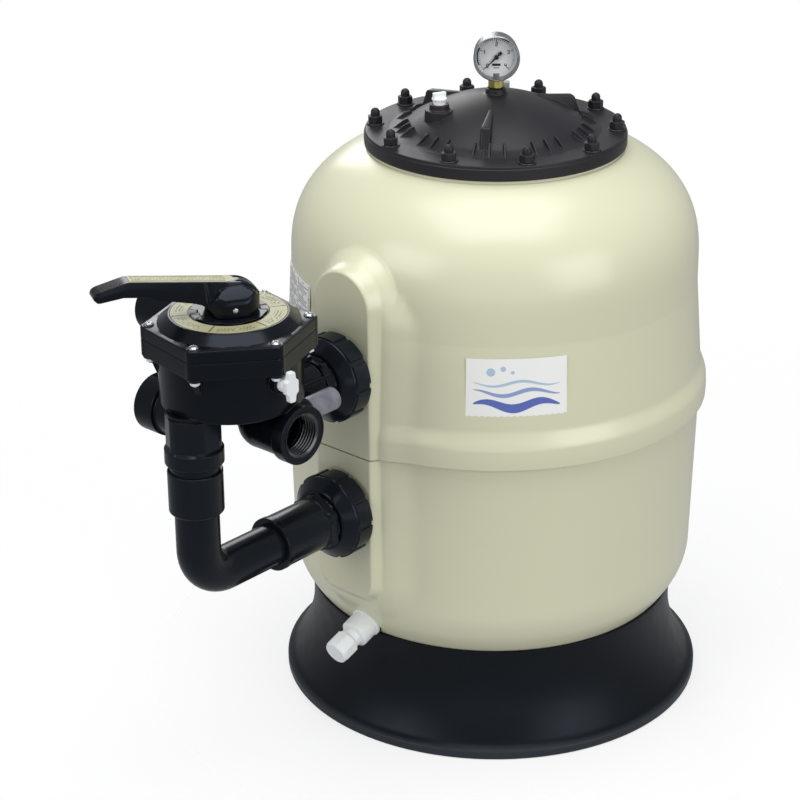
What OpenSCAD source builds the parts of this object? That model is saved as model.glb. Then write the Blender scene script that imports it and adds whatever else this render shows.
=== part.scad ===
// Side-mount sand filter tank for a small pool: a two-piece moulded vessel on a skirt base,
// a bolted lid with gauge and purge, and a rotary selector valve plumbed to two wall ports.
// Frame: Z up, origin on the vessel axis at floor level, ports and valve on the -Y side.

/* [Vessel] */
// Outer radius of the vessel wall at the seam
tank_r = 256.5; // [240:0.5:280]
// Outer radius of the wall where the top dome starts
shoulder_r = 248.5; // [235:0.5:256]
// Wall thickness of both shells
wall = 7; // [5:0.5:8]
// Height of the lower edge of the seam band
seam_z = 388; // [380:1:392]
// Height where the top dome starts
shoulder_z = 565; // [560:1:570]
// Height of the top dome's full curve above the shoulder
dome_h = 155; // [154:0.5:158]

/* [Base] */
// Outer radius of the floor lip
base_r = 266.5; // [262:0.5:275]
// Narrowest radius of the skirt
waist_r = 229.5; // [226:0.5:233]
// Height of the skirt's upper rim
base_h = 130; // [128:1:132]

/* [Lid] */
// Outer radius of the lid flange
lid_r = 158; // [156:0.5:160]
// Underside height of the lid flange
lid_z = 708; // [708:0.5:710]
// Thickness of the lid flange
lid_t = 12; // [10:0.5:14]
// Radius of the circle of lid bolts
bolt_circle_r = 145; // [143:0.5:147]
// Number of lid bolts
bolt_n = 10; // [10]
// Rise of the lid's dome above its flange
lid_rise = 42; // [40:1:44]

/* [Wall ports] */
// Height of the upper wall port
upper_z = 488; // [484:1:492]
// Height of the lower wall port
lower_z = 312.5; // [306:0.5:318]
// Distance from the vessel axis to the flat port pad
pad_y = 275; // [273:0.5:277]
// Half width of the flat port pad
pad_half = 45; // [43:0.5:47]
// Outer radius of the two union nuts
union_r = 52; // [50:0.5:54]

/* [Pipe] */
// Outer radius of the connecting pipe
pipe_r = 25; // [24:0.5:26]
// Wall of the connecting pipe
pipe_wall = 3; // [2:0.5:4]
// Centre-line radius of the pipe's bend
bend_r = 38; // [34:1:42]
// Distance from the vessel axis to the upright pipe
riser_y = 511; // [509:0.5:513]

/* [Valve] */
// Distance from the vessel axis to the valve axis
valve_y = 451; // [449:0.5:453]
// Outer radius of the valve chamber
valve_r = 80; // [79:0.5:81]
// Height of the underside of the valve chamber
valve_z = 516.5; // [516:0.5:517]
// Height of the joint between valve chamber and valve lid
valve_joint_z = 592; // [591:0.5:593]
// Radius of the circle of valve screws
screw_circle_r = 87; // [86:0.5:88]
// Direction of the first valve screw, in degrees from +X
screw_phase = -10; // [-12:1:-6]
// Thread radius of the three outside connections
port_bore_r = 22.4; // [22.4]
// Depth of the thread in the three outside connections
thread_depth = 22; // [18:1:22]

/* [Handle] */
// Direction of the lever, in degrees from +X
lever_az = -119; // [-125:1:-115]
// Length of the lever from the valve axis to its tip
lever_len = 148; // [140:1:150]
// Height of the lever's pivot pin
pivot_z = 628; // [627.5:0.5:628.5]

/* [Gauge] */
// Outer radius of the gauge case
gauge_r = 26.5; // [25:0.5:28]
// Height of the gauge's centre
gauge_z = 807; // [806:0.5:809]
// Direction the dial faces, in degrees from +X
gauge_az = -48; // [-90:1:0]

/* [Hidden] */
$fn = 64;
fine = 128;

// Vessel outline
dish_r = 252;
dish_h = 140;
dish_z = 190;
dome_power = 2.5;
lap_h = 24;
band_r = tank_r + 8.5;
band_h = 31;
mouth_r = 118;
neck_r = 154.5;
neck_z = 707;
neck_t = 17;
arc_steps = 18;
lid_top = lid_z + lid_t;

// Pad outline on the vessel wall
pad_arch_z = 570;
pad_bottom_z = 197;
pad_corner_r = 24;
pad_step = 9;
pad_fillet = 3;

// Wall port and union stack, as distances from the vessel axis
bulkhead_r = 38;
bulkhead_end = 300;
bulkhead_flange_r = 46;
pad_back = 263;
union_start = pad_y + 5.5;
union_end = union_start + 36;
tail_flange_r = 37.4;
tail_flange_y = 303;
tail_flange_t = 6;
tail_r = 31;
lobes = 10;

// Connecting pipe and sockets
socket_r = 31.4;
lower_sleeve_end = 400;
riser_sleeve_top = 450;
riser_sleeve_low = 400;
riser_collar_r = 33;
riser_collar_low = 458;
riser_hex_low = 478;
riser_hex_top = 496;

// Valve
valve_wall = 6;
floor_t = 9.5;
chamber_r = valve_r - valve_wall;
flange_low = 575;
port_level = 488;
port_r = 30;
collar_r = 33.5;
waste_y = 431;
return_y = 471;
pump_y = 404;
pump_z = 566;
waste_end = 88;
return_end = 104;
return_bend = 48;
pump_end = 174;
duct_r = 20;
dial_z = 617;
dial_r = 64;
dial_bore_r = 44.5;
lid_hex_top = 606;
shaft_r = 11;
shaft_clear = 0.06;
shaft_play = 2;
rotor_r = 70;
rim_corner_r = 97.6;
seat_t = 3;
rotor_z = valve_z + floor_t + seat_t + 0.2;
rotor_t = 12;
washer_z = dial_z + 0.2;
washer_t = 2;
screw_head_z = lid_hex_top + 0.2;
hub_half = 30.5;
arm_half = 12.5;
spring_r = 19;
spring_wire = 1.9;
spring_turns = 5;
spring_low = rotor_z + rotor_t + spring_wire + 0.1;
spring_high = 588 - spring_wire - 0.1;
spring_rings = spring_turns * 20;
spring_sides = 8;

// Purge, drain and plug positions
purge_r = 74;
purge_az = -114.5;
purge_top = 757.5;
drain_z = 147;
drain_y = 231;
drain_tilt = 20;
plug_z = 559;
plug_az = -5;
sight_x = 53;

module at_plug() { translate([0, -valve_y, plug_z]) rotate([0, 0, plug_az]) children(); }
module at_valve() { translate([0, -valve_y, 0]) children(); }
module around(n, phase = 0) { for (i = [0:n - 1]) rotate([0, 0, phase + i * 360 / n]) children(); }
module along_y(y) { translate([0, -y, 0]) rotate([90, 0, 0]) children(); }
module ring(r_out, r_in, h) {
    difference() {
        cylinder(r = r_out, h = h, $fn = fine);
        translate([0, 0, -1]) cylinder(r = r_in, h = h + 2, $fn = fine);
    }
}
module bar_x(x0, x1, r) { translate([x0, 0, 0]) rotate([0, 90, 0]) cylinder(r = r, h = x1 - x0); }

// ---- Vessel -------------------------------------------------------------------------------
function dish_points(inset) = [for (i = [0:arc_steps]) let (a = -90 + 90 * i / arc_steps)
    [(dish_r - inset) * cos(a), dish_z + (dish_h - inset) * sin(a)]];
function dome_radius(inset, t) = (shoulder_r - inset) * pow(cos(t), 2 / dome_power);
function dome_height(inset, t) = shoulder_z + (dome_h - inset) * pow(sin(t), 2 / dome_power);
function dome_points(inset, z_max) = [for (i = [0:arc_steps * 2]) let (t = 60 * i / (arc_steps * 2))
    if (dome_height(inset, t) < z_max) [dome_radius(inset, t), dome_height(inset, t)]];

module lower_outline() {
    polygon(concat(dish_points(0), [[tank_r, seam_z], [tank_r, seam_z + lap_h], [0, seam_z + lap_h]]));
}
module lower_void() {
    polygon(concat(dish_points(wall), [[tank_r - wall, seam_z], [tank_r - wall, seam_z + 40], [0, seam_z + 40]]));
}
module upper_outline() {
    polygon(concat([[0, seam_z], [band_r - 3, seam_z], [band_r, seam_z + 3], [band_r, seam_z + band_h - 12],
        [tank_r, seam_z + band_h]], dome_points(0, neck_z - 9), [[neck_r, neck_z - 9], [neck_r, neck_z], [0, neck_z]]));
}
module upper_void() {
    polygon(concat([[0, seam_z - 1], [tank_r + 0.3, seam_z - 1], [tank_r + 0.3, seam_z + lap_h + 1],
        [tank_r - wall, seam_z + lap_h + 1]], dome_points(wall, neck_z - neck_t),
        [[mouth_r, neck_z - neck_t], [mouth_r, neck_z + 1], [0, neck_z + 1]]));
}
module pad_outline(half, arch_z, bottom_z, corner) {
    translate([0, arch_z]) circle(r = half, $fn = fine);
    translate([-half, bottom_z + corner]) square([2 * half, arch_z - bottom_z - corner]);
    translate([-half + corner, bottom_z]) square([2 * (half - corner), corner + 1]);
    for (s = [-1, 1]) translate([s * (half - corner), bottom_z + corner]) circle(r = corner);
}
module pad() {
    along_y(200) linear_extrude(pad_y - 200)
        pad_outline(pad_half, pad_arch_z, pad_bottom_z, pad_corner_r);
    along_y(200) linear_extrude(pad_y - pad_step - 200)
        pad_outline(pad_half + pad_fillet, pad_arch_z, pad_bottom_z - pad_fillet, pad_corner_r + pad_fillet);
}
module port_cut(z) {
    translate([0, 0, z]) {
        along_y(200) cylinder(r = bulkhead_r + 0.3, h = pad_y - 199, $fn = fine);
        along_y(200) cylinder(r = bulkhead_flange_r + 3, h = pad_back - 200, $fn = fine);
    }
}
module tank_lower_shell() {
    color("#cfcfae") difference() {
        union() {
            rotate_extrude($fn = fine) lower_outline();
            intersection() {
                pad();
                translate([-100, -400, 0]) cube([200, 400, seam_z - 0.2]);
            }
        }
        rotate_extrude($fn = fine) lower_void();
        port_cut(lower_z);
        drain_frame() translate([0, 0, -20]) cylinder(r = 12.1, h = 60);
        drain_frame() translate([0, 0, 4]) cylinder(r = 21, h = 40);
    }
}
module tank_upper_shell() {
    color("#d8d8b6") difference() {
        union() {
            rotate_extrude($fn = fine) upper_outline();
            intersection() {
                pad();
                translate([-100, -400, seam_z]) cube([200, 400, 400]);
            }
        }
        rotate_extrude($fn = fine) upper_void();
        port_cut(upper_z);
        around(bolt_n) translate([bolt_circle_r, 0, neck_z - 13]) cylinder(r = 4.05, h = 14);
        translate([0, 0, neck_z - 4]) ring(131.8, 126, 5);
    }
}
module base_skirt() {
    color("#26282c") difference() {
        rotate_extrude($fn = fine) polygon([[base_r - 14, 0], [base_r, 0], [base_r, 9], [base_r - 3, 13],
            [base_r - 8, 15], [246, 38], [236, 64], [waist_r + 1, 90], [waist_r, 104], [waist_r + 0.8, 120],
            [waist_r + 2, base_h], [210, base_h], [212, 112], [waist_r - 9, 104], [waist_r - 7, 88], [229, 62],
            [239, 36], [base_r - 16, 14]]);
        rotate_extrude($fn = fine) polygon(dish_points(-0.4));
        drain_frame() translate([0, 0, -6]) cylinder(r = 24, h = 60);
    }
}

// ---- Lid ----------------------------------------------------------------------------------
function lid_curve(z0, rise, r_foot, n) = [for (i = [0:n]) let (r = r_foot * (1 - i / n))
    [r, z0 + rise * (1 - pow(r / r_foot, 2))]];
module at_bolts(z) { around(bolt_n) translate([bolt_circle_r, 0, z]) children(); }
module lid_studs() {
    color("silver") at_bolts(neck_z - 13) cylinder(r = 4, h = 39);
}
module lid_gasket() {
    color("#1a1a1a") translate([0, 0, neck_z - 4]) ring(131.4, 126.4, lid_z - neck_z + 4);
}
module lid_rib() {
    rotate([90, 0, 0]) translate([0, 0, -5]) linear_extrude(10)
        polygon([[20, lid_top], [20, lid_top + 36], [99, lid_top + 28], [104, lid_top + 23], [121, lid_top]]);
}
module lid_gusset() {
    rotate([90, 0, 0]) translate([0, 0, -1.3]) linear_extrude(2.6)
        polygon([[106, lid_top], [106, lid_top + 12], [112, lid_top + 10], [124, lid_top]]);
}
module at_purge(z) { rotate([0, 0, purge_az]) translate([purge_r, 0, z]) children(); }
module lid_void() {
    polygon(concat([[0, lid_z - 1], [mouth_r - 2, lid_z - 1]],
        lid_curve(lid_z + 4, lid_rise, mouth_r - 2, arc_steps)));
}
module lid() {
    rib_az = [-57, 63, 183];
    color("#303035") difference() {
        union() {
            rotate_extrude($fn = fine) polygon(concat([[0, lid_z], [neck_r + 0.5, lid_z], [neck_r + 0.5, lid_z - 5.5],
                [lid_r - 1, lid_z - 5.5], [lid_r, lid_z - 4.5], [lid_r, lid_top - 2], [lid_r - 2, lid_top], [mouth_r + 3, lid_top]],
                lid_curve(lid_top, lid_rise, mouth_r, arc_steps)));
            difference() {
                union() {
                    for (a = rib_az) rotate([0, 0, a]) lid_rib();
                    for (i = [0:bolt_n - 1], k = [1:3]) rotate([0, 0, i * 36 + k * 9]) lid_gusset();
                }
                translate([0, 0, lid_z]) rotate_extrude($fn = fine)
                    square([mouth_r - 14, 4]);
            }
            translate([0, 0, lid_top + 20]) cylinder(r = 13, h = 28);
            at_purge(lid_top + 4) cylinder(r = 17.3, h = 27);
            at_purge(lid_top + 4) cylinder(r = 11.5, h = purge_top - lid_top - 4);
        }
        rotate_extrude($fn = fine) lid_void();
        at_bolts(lid_z - 1) cylinder(r = 4.6, h = lid_t + 2);
        translate([0, 0, lid_top]) cylinder(r = 6.05, h = 60);
        at_purge(lid_z) cylinder(r = 5.05, h = 60);
        at_purge(purge_top - 4) cylinder(r = 8.1, h = 5);
    }
}
module lid_washers() {
    color("#b8b8b4") at_bolts(lid_top) ring(9.5, 4.3, 1.5);
}
module lid_nuts() {
    color("#202024") at_bolts(lid_top + 1.5) difference() {
        union() {
            intersection() {
                cylinder(r = 9.4, h = 9, $fn = 6);
                cylinder(r = 9.1, h = 9);
            }
            translate([0, 0, 9]) cylinder(r = 5.6, h = 4);
            translate([0, 0, 13]) intersection() {
                sphere(r = 5.6);
                cylinder(r = 6, h = 6);
            }
        }
        translate([0, 0, -1]) cylinder(r = 4.02, h = 13);
    }
}
module lid_locating_key() {
    color("#8e8f90") rotate([0, 0, 126]) difference() {
        translate([bolt_circle_r - 9, -7, lid_top]) cube([18, 14, 12]);
        translate([bolt_circle_r + 3, -8, lid_top + 7]) cube([8, 16, 7]);
    }
}

// ---- Pressure gauge -----------------------------------------------------------------------
module at_gauge() { translate([0, 0, gauge_z]) rotate([0, 0, gauge_az]) rotate([0, 90, 0]) children(); }
module gauge_gasket() {
    color("#161616") translate([0, 0, lid_top + 48]) ring(9, 6.1, 1.6);
}
module gauge_stem() {
    color("#b4953c") {
        translate([0, 0, lid_top + 32]) cylinder(r = 6, h = 18);
        translate([0, 0, lid_top + 49.6]) cylinder(r = 9.6, h = 9.4, $fn = 6);
        translate([0, 0, lid_top + 59]) cylinder(r = 5, h = gauge_z - gauge_r - lid_top - 57);
    }
}
module gauge_case() {
    color("#8f9296") at_gauge() difference() {
        union() {
            translate([0, 0, -13]) cylinder(r = gauge_r, h = 26, $fn = fine);
            translate([0, 0, 6]) cylinder(r = gauge_r + 1, h = 10, $fn = fine);
        }
        translate([0, 0, 4]) cylinder(r = gauge_r - 2.5, h = 10, $fn = fine);
        translate([0, 0, 4]) cylinder(r = gauge_r - 3.5, h = 13, $fn = fine);
        translate([0, 0, -1]) cylinder(r = 1.56, h = 6);
        translate([gauge_r + 1, 0, 0]) rotate([0, -90, 0]) cylinder(r = 5, h = 4);
    }
}
module gauge_dial() {
    color("white") at_gauge() translate([0, 0, 4]) ring(gauge_r - 2.7, 1.6, 1);
}
module gauge_needle() {
    color("#151515") at_gauge() {
        cylinder(r = 1.5, h = 9);
        translate([0, 0, 6.6]) cylinder(r = 3, h = 1.6);
        rotate([0, 0, -45]) translate([0, 0, 7]) linear_extrude(0.8)
            polygon([[-7, -1.6], [-7, 1.6], [0, 1.1], [18, 0.35], [18, -0.35], [0, -1.1]]);
    }
}
module gauge_glass() {
    color("#e8f2f2", 0.35) at_gauge() translate([0, 0, 11.6]) cylinder(r = gauge_r - 2.7, h = 2, $fn = fine);
}

// ---- Purge screw --------------------------------------------------------------------------
module purge_oring() {
    color("#161616") at_purge(purge_top - 3.9) ring(7.9, 5.1, 2.4);
}
module purge_knob() {
    color("#e8e8e4") at_purge(0) {
        translate([0, 0, purge_top - 19]) cylinder(r = 4.95, h = 22);
        translate([0, 0, purge_top - 1.4]) cylinder(r = 7.8, h = 6);
        translate([0, 0, purge_top + 4.5]) cylinder(r = 8.8, h = 3);
        translate([-8.5, -2.5, purge_top + 7]) cube([17, 5, 7]);
    }
}

// ---- Wall ports and union nuts ------------------------------------------------------------
module port_gasket(z) {
    color("#161616") translate([0, 0, z]) along_y(pad_back - 2.8) ring(bulkhead_flange_r, bulkhead_r + 0.4, 2.6);
}
module bulkhead(z) {
    color("#1e2024") translate([0, 0, z]) difference() {
        union() {
            along_y(235) cylinder(r = bulkhead_r, h = bulkhead_end - 235, $fn = fine);
            along_y(pad_back - 12) cylinder(r = bulkhead_flange_r, h = 9, $fn = fine);
        }
        along_y(230) cylinder(r = 22, h = 80);
        along_y(230) cylinder(r = 25.1, h = 20);
    }
}
module union_gasket(z) {
    color("#161616") translate([0, 0, z]) along_y(bulkhead_end) ring(36.5, 25, tail_flange_y - bulkhead_end);
}
module union_nut(z) {
    grip = union_r - 2;
    color("#1c1e22") translate([0, 0, z]) difference() {
        union() {
            along_y(union_start) rotate_extrude($fn = fine)
                polygon([[30, 0], [grip, 0], [grip, 24], [grip - 9, 36], [30, 36]]);
            along_y(union_start) around(lobes) intersection() {
                translate([0, -13, 0]) cube([union_r + 2, 26, 22]);
                cylinder(r = union_r, h = 22, $fn = fine);
            }
        }
        along_y(union_start - 1) cylinder(r = bulkhead_r + 0.4, h = union_end - union_start - 5, $fn = fine);
        along_y(union_start) cylinder(r = tail_r + 0.7, h = 60, $fn = fine);
    }
}
module upper_port_gasket() port_gasket(upper_z);
module lower_port_gasket() port_gasket(lower_z);
module upper_bulkhead() bulkhead(upper_z);
module lower_bulkhead() bulkhead(lower_z);
module upper_union_gasket() union_gasket(upper_z);
module lower_union_gasket() union_gasket(lower_z);
module upper_union_nut() union_nut(upper_z);
module lower_union_nut() union_nut(lower_z);

// ---- Connecting pipe ----------------------------------------------------------------------
module lower_adapter() {
    color("#1e2024") translate([0, 0, lower_z]) difference() {
        union() {
            along_y(tail_flange_y) cylinder(r = tail_flange_r, h = tail_flange_t, $fn = fine);
            along_y(tail_flange_y) cylinder(r = tail_r, h = 40, $fn = fine);
            along_y(union_end + 1) rotate([0, 0, 30]) cylinder(r = 36.5, h = 11, $fn = 6);
            along_y(union_end + 11) cylinder(r = socket_r, h = lower_sleeve_end - union_end - 11, $fn = fine);
        }
        along_y(tail_flange_y - 1) cylinder(r = pipe_r - pipe_wall, h = 200, $fn = fine);
        along_y(340) cylinder(r = pipe_r, h = 100, $fn = fine);
    }
}
module pipe_section() {
    difference() {
        circle(r = pipe_r, $fn = fine);
        circle(r = pipe_r - pipe_wall, $fn = fine);
    }
}
module connecting_pipe() {
    color("#17191d") {
        translate([0, 0, lower_z]) along_y(340) linear_extrude(riser_y - bend_r - 340) pipe_section();
        translate([0, -riser_y + bend_r, lower_z + bend_r]) rotate([0, -90, 0]) rotate([0, 0, 180])
            rotate_extrude(angle = 90, $fn = fine) translate([bend_r, 0]) pipe_section();
        translate([0, -riser_y, lower_z + bend_r])
            linear_extrude(riser_sleeve_top - 8 - lower_z - bend_r) pipe_section();
    }
}
module riser_sleeve() {
    color("#1e2024") translate([0, -riser_y, riser_sleeve_low]) difference() {
        cylinder(r = tail_r, h = riser_sleeve_top - riser_sleeve_low, $fn = fine);
        translate([0, 0, -1]) cylinder(r = pipe_r, h = 43, $fn = fine);
        translate([0, 0, 40]) cylinder(r = pipe_r - pipe_wall, h = 20, $fn = fine);
    }
}
module riser_adapter() {
    color("#202227") translate([0, -riser_y, 0]) difference() {
        union() {
            translate([0, 0, riser_sleeve_top]) cylinder(r = 28, h = 10, $fn = fine);
            translate([0, 0, riser_collar_low]) cylinder(r = riser_collar_r, h = 20, $fn = fine);
            translate([0, 0, riser_hex_low]) cylinder(r = 32.5, h = riser_hex_top - riser_hex_low, $fn = 6);
            translate([0, 0, riser_hex_top - 1]) cylinder(r = 23.5, h = 19, $fn = fine);
        }
        translate([0, 0, riser_sleeve_top - 1]) cylinder(r = 20, h = 80, $fn = fine);
    }
}

// ---- Drain --------------------------------------------------------------------------------
module drain_frame() {
    translate([0, -drain_y, drain_z]) rotate([90 + drain_tilt, 0, 0]) children();
}
module drain_gasket() {
    color("#161616") drain_frame() translate([0, 0, 4]) ring(20.8, 12.4, 2.5);
}
module drain_spigot() {
    color("#ecece8") drain_frame() difference() {
        union() {
            translate([0, 0, -16]) cylinder(r = 12, h = 30);
            translate([0, 0, 6.5]) cylinder(r = 20, h = 4);
            translate([0, 0, 10]) cylinder(r = 18, h = 24);
            translate([0, 0, 33]) cylinder(r = 13, h = 10);
            translate([0, 0, 42]) cylinder(r = 11.9, h = 14);
        }
        translate([0, 0, -20]) cylinder(r = 8, h = 90);
    }
}
module drain_cap_oring() {
    color("#161616") drain_frame() translate([0, 0, 56.2]) ring(11.5, 8.3, 2);
}
module drain_cap() {
    color("#ecece8") drain_frame() difference() {
        union() {
            translate([0, 0, 45]) cylinder(r = 16.2, h = 24);
            around(12) translate([15.6, -2, 47]) cube([1.6, 4, 19]);
        }
        translate([0, 0, 44]) cylinder(r = 12.2, h = 14.4);
    }
}

// ---- Inside the vessel --------------------------------------------------------------------
module hooked_pipe(z, bend_y, rise) {
    side = rise > 0 ? 1 : -1;
    translate([0, 0, z]) along_y(bend_y) linear_extrude(250 - bend_y) pipe_section();
    translate([0, -bend_y, z + side * 40]) rotate([0, -90, 0]) rotate([0, 0, side > 0 ? 90 : 0])
        rotate_extrude(angle = 90, $fn = fine) translate([40, 0]) pipe_section();
    translate([0, -bend_y + 40, side > 0 ? z + 40 : z - 40 + rise]) linear_extrude(abs(rise)) pipe_section();
}
module inlet_pipe() {
    color("#d9d9d4") hooked_pipe(upper_z, 40, 90);
}
module diffuser() {
    color("#e4e4e0") translate([0, 0, upper_z + 130]) difference() {
        union() {
            cylinder(r = 32, h = 30);
            translate([0, 0, 26]) cylinder(r = 60, h = 6);
        }
        translate([0, 0, -1]) cylinder(r = 22, h = 22);
        around(8) translate([20, -5, 8]) cube([20, 10, 12]);
        translate([33, 0, -1]) cylinder(r = 4.5, h = 50);
    }
}
module outlet_pipe() {
    color("#d9d9d4") hooked_pipe(lower_z, 40, -110);
}
module manifold_hub() {
    color("#d9d9d4") translate([0, 0, 108]) difference() {
        cylinder(r = 44, h = 54.5);
        translate([0, 0, 10]) cylinder(r = 24, h = 60);
        around(8) translate([0, 0, 23]) bar_x(32, 50, 12.05);
        around(8) translate([0, 0, 23]) bar_x(23, 33, 8.5);
    }
}
module laterals() {
    color("#d9d9d4") translate([0, 0, 131]) around(8) difference() {
        bar_x(32, 190, 12);
        bar_x(31, 184, 9.5);
        for (i = [0:7]) translate([64 + i * 14, -15, -20]) cube([3, 30, 17]);
    }
}
module air_tube() {
    color("#e4e4e0") difference() {
        union() {
            translate([33, 0, 162.5]) cylinder(r = 4, h = 500);
            translate([33, 0, 662.5]) cylinder(r = 7, h = 18);
        }
        translate([33, 0, 160]) cylinder(r = 2.5, h = 518);
    }
}

// ---- Selector valve -----------------------------------------------------------------------
module side_duct(x0, x1, y, r, end_r, end_len) {
    translate([0, -y, port_level]) {
        bar_x(min(x0, x1), max(x0, x1), r);
        translate([x0, 0, 0]) sphere(r = r + 0.3);
        translate([x0, 0, 0]) cylinder(r = r - 0.5, h = valve_z + 1 - port_level);
        if (x1 > x0) bar_x(x1 - end_len, x1, end_r);
        else bar_x(x1, x1 + end_len, end_r);
    }
}
module thread_bore(x) {
    bar_x(x > 0 ? x - thread_depth : x - 1, x > 0 ? x + 1 : x + thread_depth, port_bore_r);
}
module side_duct_bore(x0, x1, y) {
    translate([0, -y, port_level]) {
        bar_x(min(x0, x1), max(x0, x1), duct_r);
        thread_bore(x1);
        translate([x0, 0, 0]) cylinder(r = duct_r - 0.5, h = valve_z + 20 - port_level);
    }
}
module valve_ears(z, h) {
    at_valve() around(6, screw_phase) translate([screw_circle_r, 0, z]) cylinder(r = 9.5, h = h);
}
module valve_rim(z, h) {
    at_valve() rotate([0, 0, screw_phase]) translate([0, 0, z]) intersection() {
        cylinder(r = rim_corner_r, h = h, $fn = 6);
        cylinder(r = 95.5, h = h, $fn = fine);
    }
    valve_ears(z, h);
}
module valve_body() {
    color("#1b1d22") difference() {
        union() {
            at_valve() translate([0, 0, valve_z]) cylinder(r = valve_r, h = valve_joint_z - valve_z, $fn = fine);
            valve_rim(flange_low, valve_joint_z - flange_low);
            valve_ears(flange_low - 3, 10);
            side_duct(30, waste_end, waste_y, port_r, collar_r, 16);
            side_duct(-return_bend, -return_end, return_y, port_r, collar_r, 28);
            translate([0, 0, port_level]) along_y(tail_flange_y) cylinder(r = port_r, h = valve_y - 40 - tail_flange_y);
            translate([0, 0, port_level]) along_y(tail_flange_y) cylinder(r = tail_flange_r, h = tail_flange_t);
            translate([0, -valve_y + 40, port_level]) sphere(r = port_r + 0.3);
            translate([0, -valve_y + 40, port_level]) cylinder(r = port_r - 0.5, h = valve_z + 1 - port_level);
            translate([0, -riser_y, riser_hex_top + 0.5]) cylinder(r = 29, h = valve_z + 6 - riser_hex_top);
            translate([0, -pump_y, pump_z]) bar_x(-pump_end, -40, 25.4);
            translate([0, -pump_y, pump_z]) bar_x(-pump_end, -pump_end + 62, 30);
            at_plug() bar_x(valve_r - 8, valve_r + 9, 12.5);
            sight_frame() translate([0, 0, 20]) cylinder(r = 16, h = 18);
        }
        at_valve() translate([0, 0, valve_z + floor_t]) cylinder(r = chamber_r, h = 100, $fn = fine);
        at_valve() around(6, screw_phase) translate([screw_circle_r, 0, flange_low - 5]) cylinder(r = 2.6, h = 30);
        at_valve() around(6, screw_phase) translate([screw_circle_r, 0, flange_low - 15]) cylinder(r = 6.4, h = 12);
        side_duct_bore(30, waste_end, waste_y);
        side_duct_bore(-return_bend, -return_end, return_y);
        translate([0, 0, port_level]) along_y(tail_flange_y - 1) cylinder(r = 22, h = valve_y - 40 - tail_flange_y);
        translate([0, -valve_y + 40, port_level]) cylinder(r = duct_r, h = 50);
        translate([0, -riser_y, riser_hex_top - 1]) cylinder(r = 23.6, h = 20, $fn = fine);
        translate([0, -riser_y + 8, riser_hex_top + 18]) cylinder(r = 14, h = 20);
        translate([0, -pump_y, pump_z]) bar_x(-pump_end, -50, duct_r);
        translate([0, -pump_y, pump_z]) thread_bore(-pump_end);
        at_plug() bar_x(valve_r - 12, valve_r + 10, 6.05);
        at_plug() bar_x(valve_r + 5, valve_r + 10, 9.1);
        sight_frame() translate([0, 0, 8]) cylinder(r = 12, h = 40);
    }
}
module valve_seat_gasket() {
    color("#161616") at_valve() translate([0, 0, valve_z + floor_t]) {
        ring(rotor_r, rotor_r - 6, seat_t);
        ring(16, 12, seat_t);
        around(6, 30) translate([13, -2.5, 0]) cube([rotor_r - 16, 5, seat_t]);
    }
}
module valve_rotor() {
    color("#c9c9c4") at_valve() {
        difference() {
            translate([0, 0, rotor_z]) cylinder(r = rotor_r, h = rotor_t, $fn = fine);
            rotate([0, 0, -90]) translate([22, -15, rotor_z - 1]) cube([38, 30, rotor_t + 2]);
            rotate([0, 0, 30]) translate([22, -15, rotor_z - 1]) cube([38, 30, 8]);
        }
        difference() {
            translate([0, 0, rotor_z + rotor_t - 1]) cylinder(r = shaft_r, h = pivot_z + 8 - rotor_z - rotor_t, $fn = fine);
            rotate([0, 0, lever_az]) translate([0, 30, pivot_z]) rotate([90, 0, 0]) cylinder(r = 3.05, h = 60);
            translate([0, 0, 598.5]) ring(shaft_r + 1, shaft_r - 1.7, 4);
        }
    }
}
module valve_shaft_oring() {
    color("#161616") at_valve() translate([0, 0, 599]) ring(shaft_r - 0.1, shaft_r - 1.7, 3);
}

// Coil spring between rotor and lid, swept as a tube along a helix
function spring_point(i, s) = let (a = 360 * i / 20, b = 360 * s / spring_sides,
    z = spring_low + (spring_high - spring_low) * i / spring_rings, r = spring_r + spring_wire * cos(b))
    [r * cos(a), r * sin(a), z + spring_wire * sin(b)];
module valve_spring() {
    n = spring_sides;
    color("#b9bcc0") at_valve() polyhedron(
        points = [for (i = [0:spring_rings], s = [0:n - 1]) spring_point(i, s)],
        faces = concat([[for (s = [0:n - 1]) s]],
            [for (i = [0:spring_rings - 1], s = [0:n - 1])
                [i * n + s, (i + 1) * n + s, (i + 1) * n + (s + 1) % n, i * n + (s + 1) % n]],
            [[for (s = [n - 1:-1:0]) spring_rings * n + s]]));
}
module valve_lid_gasket() {
    color("#161616") at_valve() translate([0, 0, valve_joint_z - 3]) ring(chamber_r - 0.2, chamber_r - 4, 3);
}
module valve_lid() {
    color("#24262c") difference() {
        union() {
            valve_rim(valve_joint_z, lid_hex_top - valve_joint_z);
            at_valve() rotate_extrude($fn = fine) polygon([[0, valve_joint_z], [78, valve_joint_z], [78, lid_hex_top],
                [dial_r + 2.5, dial_z - 1], [dial_r + 1.5, dial_z], [0, dial_z]]);
            at_valve() translate([0, 0, 588]) cylinder(r = chamber_r - 4.3, h = 10, $fn = fine);
        }
        at_valve() translate([0, 0, 580]) cylinder(r = shaft_r + shaft_clear, h = 60, $fn = fine);
        at_valve() translate([0, 0, dial_z - 1.2]) ring(dial_r + 0.2, dial_bore_r - 0.2, 4);
        at_valve() around(6, screw_phase) translate([screw_circle_r, 0, valve_joint_z - 1]) cylinder(r = 2.6, h = 30);
        at_valve() around(6, screw_phase + 30) translate([50, 0, 586]) cylinder(r = 16, h = 14);
    }
}
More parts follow.
